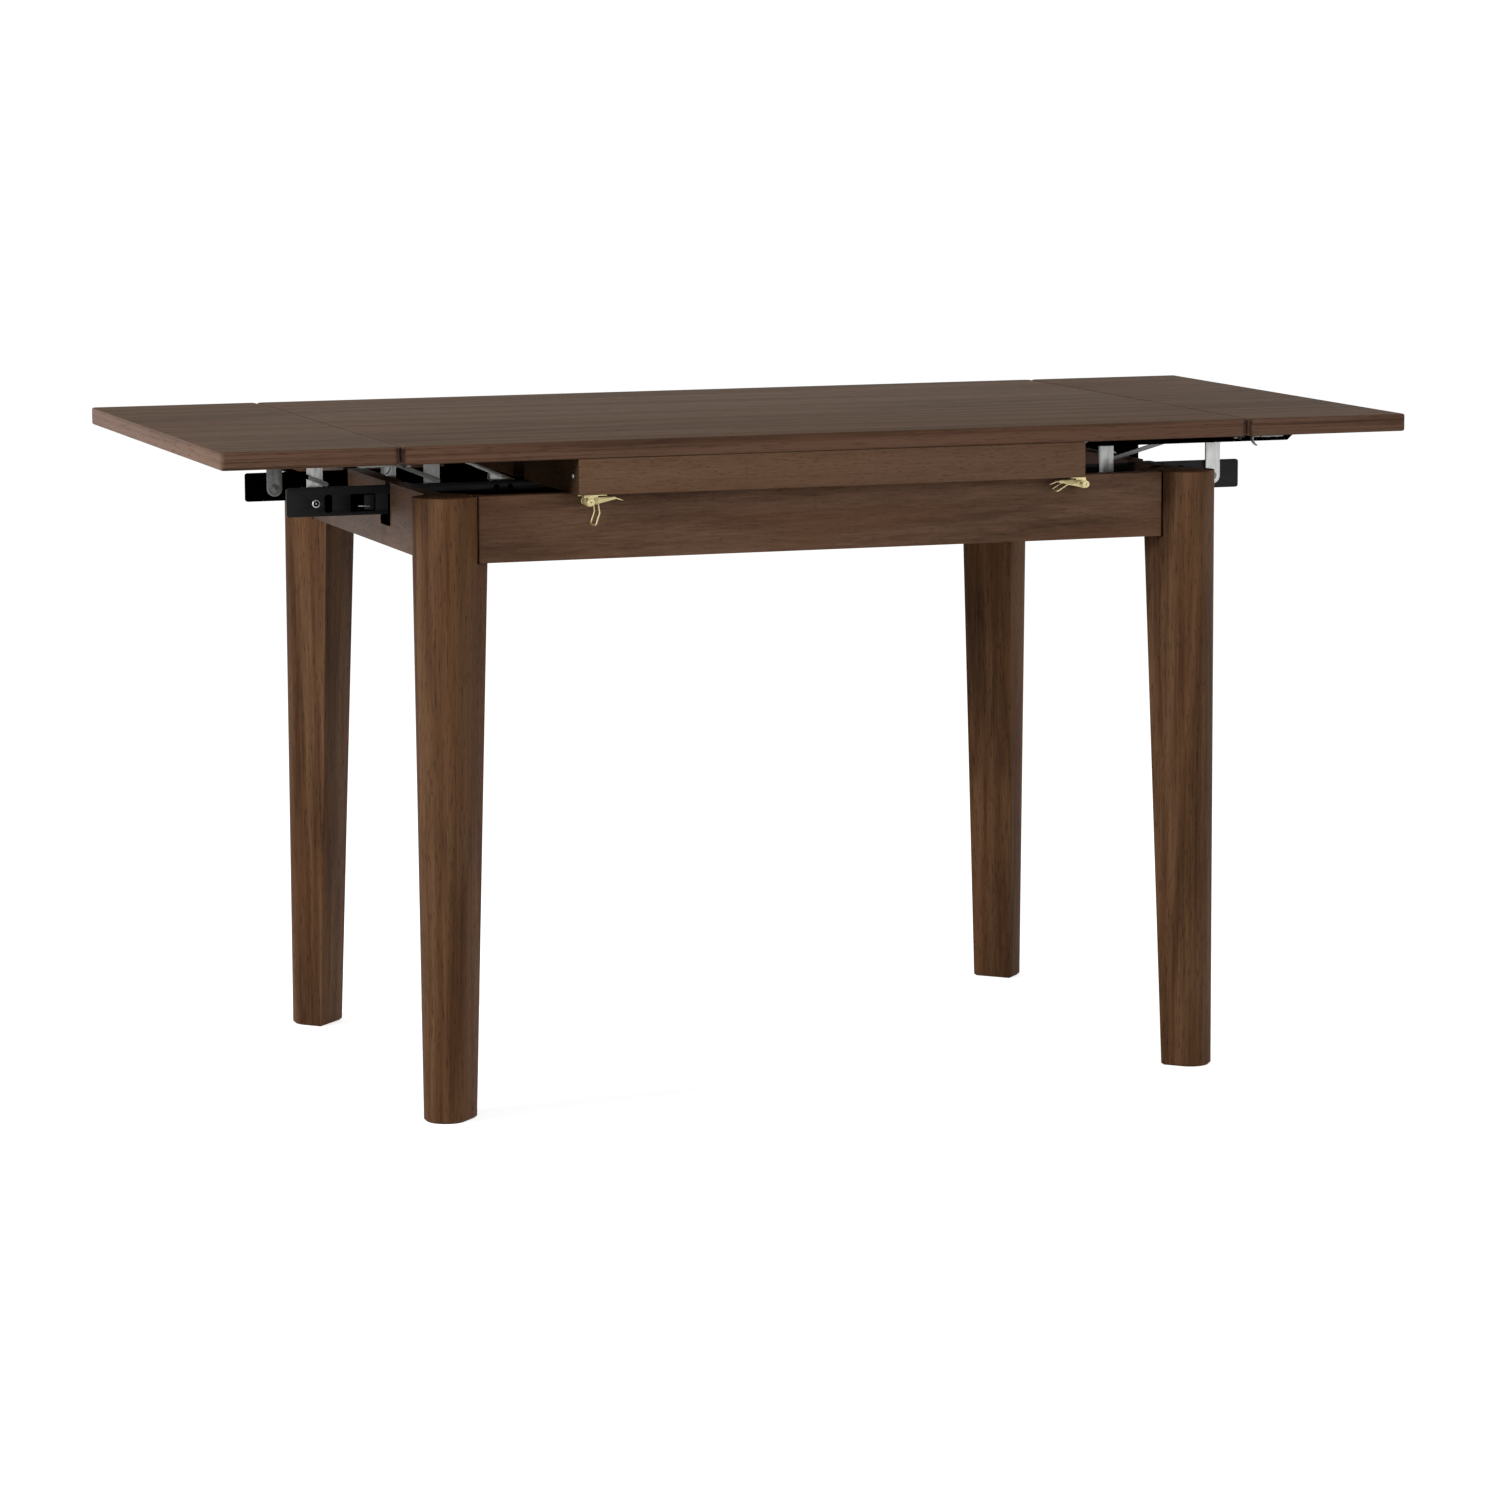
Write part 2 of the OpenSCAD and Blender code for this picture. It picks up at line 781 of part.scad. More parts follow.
module latch_bail(side, row) {
  swing = side < 0 ? left_bail_swing : right_bail_swing;
  w = 2 * wire_r;
  y = lever_width / 2 + 2.2;
  color(brass_metal)
    latch_seat(side, row)
      translate([bail_offset, 0, bail_rise])
        rotate([0, -swing, 0]) {
          for (k = [-1, 1]) {
            difference() {
              pin_y(0, k * y - 1, 0, bail_pin_r + eye_wall, 2);
              pin_y(0, k * y - 2, 0, bail_pin_r + pivot_clear, 4);
            }
            plate(k * y - wire_r, w) bail_side();
          }
          translate([0, 0, -bail_upper])
            rotate([0, bail_bend, 0])
              pin_y(0, -y, -bail_lower + wire_r, wire_r - 0.05, 2 * y);
        }
}

// Locks that hold a raised leaf against the top

module lock_seat(side, row) {
  mirror([side < 0 ? 1 : 0, 0, 0])
    mirror([0, row < 0 ? 1 : 0, 0])
      translate([lock_x, lock_y, top_under])
        children();
}

// Plate under the leaf whose inner end is bent down and back into a hook
module lock_hooks(side) {
  arc_r = 12;
  w = 1.6;
  color(zinc_steel)
    for (row = [-1, 1]) {
      lock_seat(side, row) {
        translate([-lock_length + arc_r - w, -6, -w]) cube([lock_length, 12, w]);
        plate(-3, 6)
          translate([-lock_length + arc_r, -w])
            polygon(concat(
              [for (a = [180:6:240]) [arc_r * cos(a), arc_r * sin(a)]],
              [for (a = [240:-6:180]) [(arc_r - w) * cos(a), (arc_r - w) * sin(a)]]
            ));
        translate([-lock_length, -3, -w]) cube([arc_r, 6, w]);
      }
    }
}

module lock_keepers() {
  color(zinc_steel)
    for (side = [-1, 1], row = [-1, 1]) {
      lock_seat(side, row) {
        translate([-lock_past - 14, -5, -1.4]) cube([13, 10, 1.4]);
        translate([-lock_past - 5, 0, -4]) cylinder(r = 1.6, h = 3);
      }
    }
}

top();
spacer_side(-1);  // spacer_front
spacer_side(1);  // spacer_back
spacer_end_rail(-1);  // spacer_left
spacer_end_rail(1);  // spacer_right
apron_long(-1);  // apron_front
apron_long(1);  // apron_back
apron_short(-1);  // apron_left
apron_short(1);  // apron_right
leg(-1, -1);  // leg_front_left
leg(1, -1);  // leg_front_right
leg(-1, 1);  // leg_back_left
leg(1, 1);  // leg_back_right
cross_rail();
corner_blocks();
leg_bolts();
channel(-1, -1);  // left_front_channel
channel(-1, 1);  // left_back_channel
channel(1, -1);  // right_front_channel
channel(1, 1);  // right_back_channel
ramp_brackets(-1);  // left_ramp_brackets
ramp_brackets(1);  // right_ramp_brackets
latch_plates();
lock_keepers();
bar(-1, -1);  // left_front_bar
bar(-1, 1);  // left_back_bar
bar(1, -1);  // right_front_bar
bar(1, 1);  // right_back_bar
bar_rivets(-1);  // left_bar_rivets
bar_rivets(1);  // right_bar_rivets
link(-1, -1, outer_link_x, pivot_clear);  // left_front_outer_link
link(-1, 1, outer_link_x, pivot_clear);  // left_back_outer_link
link(-1, -1, inner_link_x, open_clear);  // left_front_inner_link
link(-1, 1, inner_link_x, open_clear);  // left_back_inner_link
link(1, -1, outer_link_x, pivot_clear);  // right_front_outer_link
link(1, 1, outer_link_x, pivot_clear);  // right_back_outer_link
link(1, -1, inner_link_x, open_clear);  // right_front_inner_link
link(1, 1, inner_link_x, open_clear);  // right_back_inner_link
leaf(-1);  // left_leaf
carrier(-1, -1);  // left_front_carrier
carrier(-1, 1);  // left_back_carrier
carrier_rivets(-1);  // left_carrier_rivets
lock_hooks(-1);  // left_lock_hooks
leaf(1);  // right_leaf
carrier(1, -1);  // right_front_carrier
carrier(1, 1);  // right_back_carrier
carrier_rivets(1);  // right_carrier_rivets
lock_hooks(1);  // right_lock_hooks
stay_pair(-1, left_outer_pin, left_stay);  // left_outer_stays
stay_pair(-1, left_inner_pin, left_stay);  // left_inner_stays
stay_pair(1, right_inner_pin, right_stay);  // right_inner_stays
latch_lever(-1, -1);  // lever_front_left
latch_lever(1, -1);  // lever_front_right
latch_lever(-1, 1);  // lever_back_left
latch_lever(1, 1);  // lever_back_right
latch_bail(-1, -1);  // bail_front_left
latch_bail(1, -1);  // bail_front_right
latch_bail(-1, 1);  // bail_back_left
latch_bail(1, 1);  // bail_back_right
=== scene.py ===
import json
import math

import bmesh
import bpy
from mathutils import Matrix, Vector


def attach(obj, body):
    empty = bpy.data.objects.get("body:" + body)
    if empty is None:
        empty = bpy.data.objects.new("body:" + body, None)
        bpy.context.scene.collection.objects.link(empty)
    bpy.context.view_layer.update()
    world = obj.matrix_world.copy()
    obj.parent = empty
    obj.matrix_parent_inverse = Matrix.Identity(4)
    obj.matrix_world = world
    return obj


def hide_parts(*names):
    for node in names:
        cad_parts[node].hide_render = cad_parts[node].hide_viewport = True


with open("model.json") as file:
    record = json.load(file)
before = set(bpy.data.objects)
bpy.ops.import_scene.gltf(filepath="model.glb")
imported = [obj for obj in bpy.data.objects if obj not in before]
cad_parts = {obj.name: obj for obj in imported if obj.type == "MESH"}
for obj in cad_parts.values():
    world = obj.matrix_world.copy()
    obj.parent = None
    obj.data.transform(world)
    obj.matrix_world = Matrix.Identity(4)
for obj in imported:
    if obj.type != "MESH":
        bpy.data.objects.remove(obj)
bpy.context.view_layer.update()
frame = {"nodes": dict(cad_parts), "record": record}
mm = 0.001
print("frame loaded:", len(frame["nodes"]), "nodes")

# camera, where the photograph was taken from
cameraValues = {
    "place": (-1.9703, -5.7022, 1.2341),
    "lens": 123.83,
    "yaw": 19.162,
    "pitch": 8.325,
    "roll": -0.208,
}


def makeCamera(values):
    yaw, pitch, roll = (math.radians(values[k]) for k in ("yaw", "pitch", "roll"))
    ahead = Vector((math.sin(yaw) * math.cos(pitch), math.cos(yaw) * math.cos(pitch), -math.sin(pitch)))
    right = Vector((math.cos(yaw), -math.sin(yaw), 0))
    up = right.cross(ahead)
    turnedRight = right * math.cos(roll) + up * math.sin(roll)
    turnedUp = up * math.cos(roll) - right * math.sin(roll)
    data = bpy.data.cameras.new("tableCamera")
    data.lens = values["lens"]
    data.sensor_width = 36
    data.clip_start, data.clip_end = 0.1, 200
    camera = bpy.data.objects.new("tableCamera", data)
    bpy.context.scene.collection.objects.link(camera)
    turn = Matrix((turnedRight, turnedUp, -ahead)).transposed().to_4x4()
    camera.matrix_world = Matrix.Translation(values["place"]) @ turn
    bpy.context.scene.camera = camera


makeCamera(cameraValues)
bpy.context.scene.view_settings.view_transform = "Standard"

# studio: pale floor, white surround and soft lamps
studioValues = {
    "floorColour": (0.86, 0.86, 0.86),
    "floorGlow": 0.72,
    "floorReach": 60,
    "surround": 0.34,
    "lamps": {
        "keyLamp": {"place": (-3.5, -0.8, 1.7), "aim": (0, 0, 0.6), "size": (0.6, 0.5), "power": 64},
        "sideLamp": {"place": (-3.5, -0.8, 1.25), "aim": (0, 0, 0.6), "size": (0.3, 0.12), "power": 24},
        "fillLamp": {"place": (2.1, -4.0, 1.5), "aim": (0.1, 0, 0.55), "size": (3.0, 2.0), "power": 52},
        "topLamp": {"place": (0.2, 0.4, 3.0), "aim": (0, 0, 0.7), "size": (3.0, 2.4), "power": 24},
    },
}


def link(tree, a, b):
    tree.links.new(a, b)


def addNode(tree, kind, place=(0, 0), **settings):
    made = tree.nodes.new(kind)
    made.location = place
    for name, value in settings.items():
        if hasattr(made, name):
            setattr(made, name, value)
        else:
            made.inputs[name.replace("_", " ")].default_value = value
    return made


def feed(tree, socket, value):
    if hasattr(value, "links"):
        link(tree, value, socket)
    elif value is not None:
        socket.default_value = value


def calc(tree, operation, a, b=None, place=(0, 0), clamp=False):
    made = addNode(tree, "ShaderNodeMath", place, operation=operation, use_clamp=clamp)
    feed(tree, made.inputs[0], a)
    feed(tree, made.inputs[1], b)
    return made.outputs[0]


def seenDirectly(tree):
    path = addNode(tree, "ShaderNodeLightPath", (-800, 300))
    seen = path.outputs["Is Camera Ray"]
    for kind, x in (("Is Glossy Ray", -600), ("Is Transmission Ray", -400)):
        seen = calc(tree, "ADD", seen, path.outputs[kind], (x, 300), True)
    return seen


def makeWorld(values):
    world = bpy.data.worlds.new("studioSurround")
    bpy.context.scene.world = world
    world.use_nodes = True
    tree = world.node_tree
    tree.nodes.clear()
    light = addNode(tree, "ShaderNodeBackground", (-200, 0), Strength=values["surround"])
    white = addNode(tree, "ShaderNodeBackground", (-200, -150), Strength=1.0)
    light.inputs["Color"].default_value = (1, 1, 1, 1)
    white.inputs["Color"].default_value = (1, 1, 1, 1)
    mix = addNode(tree, "ShaderNodeMixShader", (0, 0))
    out = addNode(tree, "ShaderNodeOutputWorld", (200, 0))
    link(tree, seenDirectly(tree), mix.inputs[0])
    link(tree, light.outputs[0], mix.inputs[1])
    link(tree, white.outputs[0], mix.inputs[2])
    link(tree, mix.outputs[0], out.inputs[0])


def makeFloor(values):
    mesh = bpy.data.meshes.new("studioFloor")
    reach = values["floorReach"]
    corners = [(-reach, -reach, 0), (reach, -reach, 0), (reach, reach, 0), (-reach, reach, 0)]
    mesh.from_pydata(corners, [], [(0, 1, 2, 3)])
    floor = bpy.data.objects.new("studioFloor", mesh)
    bpy.context.scene.collection.objects.link(floor)
    paper = bpy.data.materials.new("studioPaper")
    paper.use_nodes = True
    tree = paper.node_tree
    tree.nodes.clear()
    matte = addNode(tree, "ShaderNodeBsdfDiffuse", (-200, 0))
    matte.inputs["Color"].default_value = (*values["floorColour"], 1)
    glow = addNode(tree, "ShaderNodeEmission", (-200, -150))
    both = addNode(tree, "ShaderNodeAddShader", (0, 0))
    out = addNode(tree, "ShaderNodeOutputMaterial", (200, 0))
    glowing = calc(tree, "MULTIPLY", seenDirectly(tree), values["floorGlow"], (-400, -150))
    link(tree, glowing, glow.inputs["Strength"])
    link(tree, matte.outputs[0], both.inputs[0])
    link(tree, glow.outputs[0], both.inputs[1])
    link(tree, both.outputs[0], out.inputs[0])
    mesh.materials.append(paper)


def softLamp(name, place, aim, size, power):
    data = bpy.data.lights.new(name, "AREA")
    data.shape = "RECTANGLE"
    data.size, data.size_y = size
    data.energy = power
    lamp = bpy.data.objects.new(name, data)
    lamp.location = place
    lamp.rotation_euler = (Vector(aim) - Vector(place)).to_track_quat("-Z", "Y").to_euler()
    bpy.context.scene.collection.objects.link(lamp)


makeWorld(studioValues)
makeFloor(studioValues)
for name, lamp in studioValues["lamps"].items():
    softLamp(name, **lamp)
print("studio ready")

# wood: slow figure, streaks, fibres and pores along one axis, with warm patches
# each scale is (across the grain, along it), in waves to the metre
veneerValues = {
    "dark": (0.046, 0.027, 0.015), "mid": (0.074, 0.043, 0.025), "light": (0.104, 0.064, 0.040),
    "warm": (0.089, 0.045, 0.024), "warmShare": 0.30,
    "figure": (9, 0.6), "figureTurns": 14, "streak": (95, 1.3), "fibre": (330, 7), "pore": (700, 30),
    "patch": (6, 1.6), "weights": (0.20, 0.38, 0.36, 0.26),
    "poreDepth": 0.34, "roughness": 0.62, "sheen": 0.025, "bump": 0.20,
}
bandValues = {
    "dark": (0.046, 0.022, 0.013), "mid": (0.090, 0.047, 0.029), "light": (0.128, 0.071, 0.046),
    "warm": (0.118, 0.054, 0.030), "warmShare": 0.40,
    "figure": (40, 1.0), "figureTurns": 5, "streak": (300, 1.6), "fibre": (560, 8), "pore": (700, 45),
    "patch": (14, 4), "weights": (0.34, 1.10, 0.70, 0.22),
    "poreDepth": 0.45, "roughness": 0.58, "sheen": 0.06, "bump": 0.22,
}
boardValues = {
    "dark": (0.048, 0.024, 0.014), "mid": (0.083, 0.045, 0.027), "light": (0.118, 0.068, 0.043),
    "warm": (0.110, 0.050, 0.026), "warmShare": 0.42,
    "figure": (16, 2.4), "figureTurns": 6, "streak": (120, 9), "fibre": (430, 30), "pore": (700, 100),
    "patch": (16, 4.5), "weights": (0.18, 0.42, 0.66, 0.36),
    "poreDepth": 0.36, "roughness": 0.58, "sheen": 0.06, "bump": 0.26,
}
railValues = {
    "dark": (0.066, 0.034, 0.019), "mid": (0.104, 0.057, 0.033), "light": (0.136, 0.080, 0.050),
    "warm": (0.118, 0.058, 0.031), "warmShare": 0.25,
    "figure": (14, 1.2), "figureTurns": 6, "streak": (110, 7), "fibre": (430, 34), "pore": (700, 110),
    "patch": (12, 3), "weights": (0.12, 0.32, 0.62, 0.28),
    "poreDepth": 0.40, "roughness": 0.58, "sheen": 0.06, "bump": 0.26,
}
legValues = {
    "dark": (0.046, 0.020, 0.009), "mid": (0.084, 0.040, 0.018), "light": (0.122, 0.064, 0.032),
    "warm": (0.108, 0.044, 0.017), "warmShare": 0.35,
    "figure": (24, 1.2), "figureTurns": 8, "streak": (190, 2.6), "fibre": (430, 16), "pore": (620, 60),
    "patch": (14, 3), "weights": (0.24, 0.66, 0.56, 0.32),
    "poreDepth": 0.60, "roughness": 0.58, "sheen": 0.06, "bump": 0.26,
}

# what all the woods share: ends of the colour ramp, edges of pores and warm patches, tints of pores and of
# the painted shade at joints, relief in metres
grainValues = {
    "rampEnds": (0.16, 0.84), "poreEdges": (0.58, 0.70), "warmEdges": (0.42, 0.68),
    "poreTint": (0.40, 0.34, 0.31), "seamShadeTint": (0.02, 0.015, 0.01), "relief": 0.0006,
    "fibreGloss": 0.14, "poreGloss": 0.10,
}
# where a board meets its neighbour its colour is darkened, painted shade for the shadow in the gap or notch
# there:
# axis across the joint, place on it in metres, how far from there the painted shade is full, how far from
# there it ends, and how deep it is
seamShadeValues = {
    "seamLine": {"axis": 0, "place": 0.5005, "near": 0.0008, "far": 0.0022, "depth": 0.7},
    "seamCorner": {"axis": 0, "place": 0.5005, "near": 0.0012, "far": 0.0080, "depth": 0.94},
    "longApron": {"axis": 0, "place": 0.4079, "near": 0.0006, "far": 0.0034, "depth": 0.9},
    "endApron": {"axis": 1, "place": 0.2514, "near": 0.0006, "far": 0.0034, "depth": 0.9},
}


# painted light and shade: toned gives lighter and darker copies of one wood, for faces that get more or less
# light
def toned(values, share):          # the same wood, lighter or darker
    tones = {key: tuple(c * share for c in values[key]) for key in ("dark", "mid", "light", "warm")}
    return {**values, **tones}


def along(axis, scale):
    return tuple(scale[1] if i == axis else scale[0] for i in range(3))


def makeWood(name, values, axis, shift=(0, 0, 0), sheen=None, joint=None):
    wood = bpy.data.materials.new(name)
    wood.use_nodes = True
    tree = wood.node_tree
    tree.nodes.clear()
    coord = addNode(tree, "ShaderNodeTexCoord", (-1600, 0))

    def grain(key, y, detail, rough=0.55, distortion=0.0):
        mapping = addNode(tree, "ShaderNodeMapping", (-1400, y))
        mapping.inputs["Scale"].default_value = along(axis, values[key])
        mapping.inputs["Location"].default_value = shift
        link(tree, coord.outputs["Object"], mapping.inputs["Vector"])
        made = addNode(tree, "ShaderNodeTexNoise", (-1200, y), Scale=1.0, Detail=detail, Roughness=rough)
        made.inputs["Distortion"].default_value = distortion
        link(tree, mapping.outputs[0], made.inputs["Vector"])
        return made.outputs["Fac"]

    def spread(value, low, high, place):
        made = addNode(tree, "ShaderNodeMapRange", place, interpolation_type="SMOOTHSTEP")
        made.inputs["From Min"].default_value = low
        made.inputs["From Max"].default_value = high
        link(tree, value, made.inputs["Value"])
        return made.outputs["Result"]

    turns = calc(tree, "MULTIPLY", grain("figure", 700, 2.0, 0.45, 0.3), values["figureTurns"], (-1000, 700))
    figure = spread(calc(tree, "PINGPONG", turns, 1.0, (-850, 700)), 0.0, 1.0, (-700, 700))
    streak = grain("streak", 400, 3.0, 0.62)
    fibre = grain("fibre", 150, 3.0, 0.65)
    pore = spread(grain("pore", -100, 1.0), *grainValues["poreEdges"], (-900, -100))
    patch = grain("patch", -400, 3.0, 0.55, 0.4)

    blend = None
    for part, weight, y in zip((figure, streak, fibre, patch), values["weights"], (700, 400, 150, -400)):
        centred = calc(tree, "SUBTRACT", part, 0.5, (-550, y))
        share = calc(tree, "MULTIPLY", centred, weight * 1.5, (-400, y))
        blend = calc(tree, "ADD", 0.5 if blend is None else blend, share, (-250, y))
    ramp = addNode(tree, "ShaderNodeValToRGB", (-50, 300))
    stops = ramp.color_ramp.elements
    stops[0].position, stops[1].position = grainValues["rampEnds"]
    stops[0].color = (*values["dark"], 1)
    stops[1].color = (*values["light"], 1)
    stops.new(0.5).color = (*values["mid"], 1)
    link(tree, blend, ramp.inputs[0])
    warmed = addNode(tree, "ShaderNodeMix", (200, 300), data_type="RGBA", blend_type="MIX")
    warmth = spread(patch, *grainValues["warmEdges"], (-400, -600))
    link(tree, calc(tree, "MULTIPLY", warmth, values["warmShare"], (0, -600)), warmed.inputs[0])
    link(tree, ramp.outputs[0], warmed.inputs[6])
    warmed.inputs[7].default_value = (*values["warm"], 1)
    pored = addNode(tree, "ShaderNodeMix", (400, 300), data_type="RGBA", blend_type="MULTIPLY")
    link(tree, calc(tree, "MULTIPLY", pore, values["poreDepth"], (200, 0)), pored.inputs[0])
    link(tree, warmed.outputs[2], pored.inputs[6])
    pored.inputs[7].default_value = (*grainValues["poreTint"], 1)
    colour = pored.outputs[2]
    # painted shade: near the given joint the colour is darkened towards the tint, for the shadow in its gap
    # or notch
    if joint:
        split = addNode(tree, "ShaderNodeSeparateXYZ", (200, 600))
        link(tree, coord.outputs["Object"], split.inputs[0])
        outboard = calc(tree, "ABSOLUTE", split.outputs[joint["axis"]], None, (350, 600))
        offset = calc(tree, "SUBTRACT", outboard, joint["place"], (500, 600))
        away = calc(tree, "ABSOLUTE", offset, None, (650, 600))
        shade = calc(tree, "SUBTRACT", 1.0, spread(away, joint["near"], joint["far"], (800, 600)), (950, 600))
        closed = addNode(tree, "ShaderNodeMix", (600, 400), data_type="RGBA", blend_type="MULTIPLY")
        link(tree, calc(tree, "MULTIPLY", shade, joint["depth"], (1100, 600)), closed.inputs[0])
        link(tree, colour, closed.inputs[6])
        closed.inputs[7].default_value = (*grainValues["seamShadeTint"], 1)
        colour = closed.outputs[2]

    finish = addNode(tree, "ShaderNodeBsdfPrincipled", (700, 200))
    finish.inputs["Specular IOR Level"].default_value = values["sheen"] if sheen is None else sheen
    link(tree, colour, finish.inputs["Base Color"])
    rough = calc(tree, "MULTIPLY_ADD", fibre, grainValues["fibreGloss"], (200, -200))
    rough.node.inputs[2].default_value = values["roughness"] - grainValues["fibreGloss"] / 2
    duller = calc(tree, "MULTIPLY", pore, grainValues["poreGloss"], (200, -350))
    link(tree, calc(tree, "ADD", rough, duller, (400, -200)), finish.inputs["Roughness"])
    bump = addNode(tree, "ShaderNodeBump", (500, -500), Distance=grainValues["relief"])
    bump.inputs["Strength"].default_value = values["bump"]
    height = calc(tree, "SUBTRACT", calc(tree, "MULTIPLY", fibre, 0.5, (200, -500)), pore, (350, -500))
    link(tree, height, bump.inputs["Height"])
    link(tree, bump.outputs[0], finish.inputs["Normal"])
    out = addNode(tree, "ShaderNodeOutputMaterial", (1000, 200))
    link(tree, finish.outputs[0], out.inputs[0])
    return wood


seamShades = seamShadeValues
walnutTop = makeWood("walnutTop", veneerValues, 0, joint=seamShades["seamLine"])
walnutBand = makeWood("walnutBand", bandValues, 0, (0.4, 2.3, 0.9), joint=seamShades["seamCorner"])
walnutBandEnd = makeWood("walnutBandEnd", bandValues, 1, (1.4, 0.3, 2.9), sheen=0.20)
# painted light and shade: the front aprons take a lighter copy and the end aprons a darker copy of the same
# board wood
walnutApron = makeWood("walnutApron", toned(boardValues, 1.25), 0, (3.1, 1.7, 0.4), joint=seamShades["longApron"])
walnutApronEndShaded = makeWood("walnutApronEndShaded", toned(boardValues, 0.82), 1, (0.6, 4.2, 1.9), sheen=0.20,
                          joint=seamShades["endApron"])
# painted light and shade: the rail wood's lighter copy is for the spacers' lit faces, its much darker copy
# for the faces in shade under the top
walnutRail = makeWood("walnutRail", toned(railValues, 1.12), 0, (2.2, 0.5, 1.1))
walnutRailShaded = makeWood("walnutRailShaded", toned(railValues, 0.45), 1, (5.1, 2.0, 0.2), sheen=0.0)
walnutLeg = makeWood("walnutLeg", toned(legValues, 1.06), 2, (1.3, 2.6, 0.7))
print("woods ready")

# steel and brass: rolled or plated surface, with smudges that change the gloss
steelValues = {
    "blackPaint": {"colour": (0.0022, 0.0022, 0.0026), "second": (0.0085, 0.0085, 0.0092), "metallic": 0.0,
                   "sheen": 0.15, "roughness": 0.44, "grain": 900, "smudge": 26, "bump": 0.12},
    # the matte black is darker than any paint: a real matte black, with painted shade for parts that lie in
    # deep shade
    "blackMatteAndShade": {"colour": (0.0001, 0.0001, 0.0001), "second": (0.0005, 0.0005, 0.0005), "metallic": 0.0,
                   "sheen": 0.0, "roughness": 0.66, "grain": 1100, "smudge": 34, "bump": 0.10},
    "zincPlate": {"colour": (0.36, 0.37, 0.36), "second": (0.55, 0.56, 0.54), "metallic": 0.70,
                  "sheen": 0.5, "roughness": 0.38, "grain": 1400, "smudge": 55, "bump": 0.16},
    "greySteel": {"colour": (0.10, 0.105, 0.10), "second": (0.19, 0.195, 0.19), "metallic": 0.75,
                  "sheen": 0.5, "roughness": 0.42, "grain": 1800, "smudge": 60, "bump": 0.14},
    "darkSteel": {"colour": (0.014, 0.014, 0.014), "second": (0.026, 0.026, 0.025), "metallic": 0.0,
                  "sheen": 0.1, "roughness": 0.5, "grain": 1200, "smudge": 60, "bump": 0.1},
    "paleBrass": {"colour": (0.40, 0.335, 0.165), "second": (0.58, 0.50, 0.28), "metallic": 0.75,
                  "sheen": 0.5, "roughness": 0.44, "grain": 1500, "smudge": 90, "bump": 0.06},
}

# what all the metals share: ends of the colour ramp and of the smudges, change of the gloss, relief in metres
surfaceValues = {
    "rampEnds": (0.36, 0.66), "smudgeEnds": (0.3, 0.7), "glossEnds": (-0.06, 0.12), "relief": 0.0002,
    "drawnOut": 30,          # how many times longer than wide the grain of rolled sheet is
}


def makeMetal(name, axis=0):
    values = steelValues[name]
    metal = bpy.data.materials.new(name)
    metal.use_nodes = True
    tree = metal.node_tree
    tree.nodes.clear()
    coord = addNode(tree, "ShaderNodeTexCoord", (-1200, 0))
    mapping = addNode(tree, "ShaderNodeMapping", (-1000, 200))
    grainScale = (values["grain"], values["grain"] / surfaceValues["drawnOut"])
    mapping.inputs["Scale"].default_value = along(axis, grainScale)
    link(tree, coord.outputs["Object"], mapping.inputs["Vector"])
    grain = addNode(tree, "ShaderNodeTexNoise", (-800, 200), Scale=1.0, Detail=3.0)
    link(tree, mapping.outputs[0], grain.inputs["Vector"])
    smudge = addNode(tree, "ShaderNodeTexNoise", (-800, -100), Scale=values["smudge"], Detail=5.0)
    smudge.inputs["Roughness"].default_value = 0.65
    link(tree, coord.outputs["Object"], smudge.inputs["Vector"])
    both = calc(tree, "ADD", grain.outputs["Fac"], smudge.outputs["Fac"], (-600, 50))
    ramp = addNode(tree, "ShaderNodeValToRGB", (-250, 100))
    for stop, position, key in zip(ramp.color_ramp.elements, surfaceValues["rampEnds"], ("colour", "second")):
        stop.position = position
        stop.color = (*values[key], 1)
    link(tree, calc(tree, "MULTIPLY", both, 0.5, (-450, 50)), ramp.inputs[0])
    gloss = addNode(tree, "ShaderNodeMapRange", (-250, -200))
    for i, end in enumerate(("Min", "Max")):
        gloss.inputs["From " + end].default_value = surfaceValues["smudgeEnds"][i]
        gloss.inputs["To " + end].default_value = values["roughness"] + surfaceValues["glossEnds"][i]
    link(tree, smudge.outputs["Fac"], gloss.inputs["Value"])
    bump = addNode(tree, "ShaderNodeBump", (-50, -350), Distance=surfaceValues["relief"])
    bump.inputs["Strength"].default_value = values["bump"]
    link(tree, grain.outputs["Fac"], bump.inputs["Height"])
    finish = addNode(tree, "ShaderNodeBsdfPrincipled", (100, 100))
    finish.inputs["Metallic"].default_value = values["metallic"]
    finish.inputs["Specular IOR Level"].default_value = values["sheen"]
    link(tree, ramp.outputs[0], finish.inputs["Base Color"])
    link(tree, gloss.outputs[0], finish.inputs["Roughness"])
    link(tree, bump.outputs[0], finish.inputs["Normal"])
    out = addNode(tree, "ShaderNodeOutputMaterial", (400, 100))
    link(tree, finish.outputs[0], out.inputs[0])
    return metal


blackPaint = makeMetal("blackPaint")
blackMatteAndShade = makeMetal("blackMatteAndShade")
zincPlate = makeMetal("zincPlate", 2)
greySteel = makeMetal("greySteel")
darkSteel = makeMetal("darkSteel")
paleBrass = makeMetal("paleBrass")
print("metals ready")


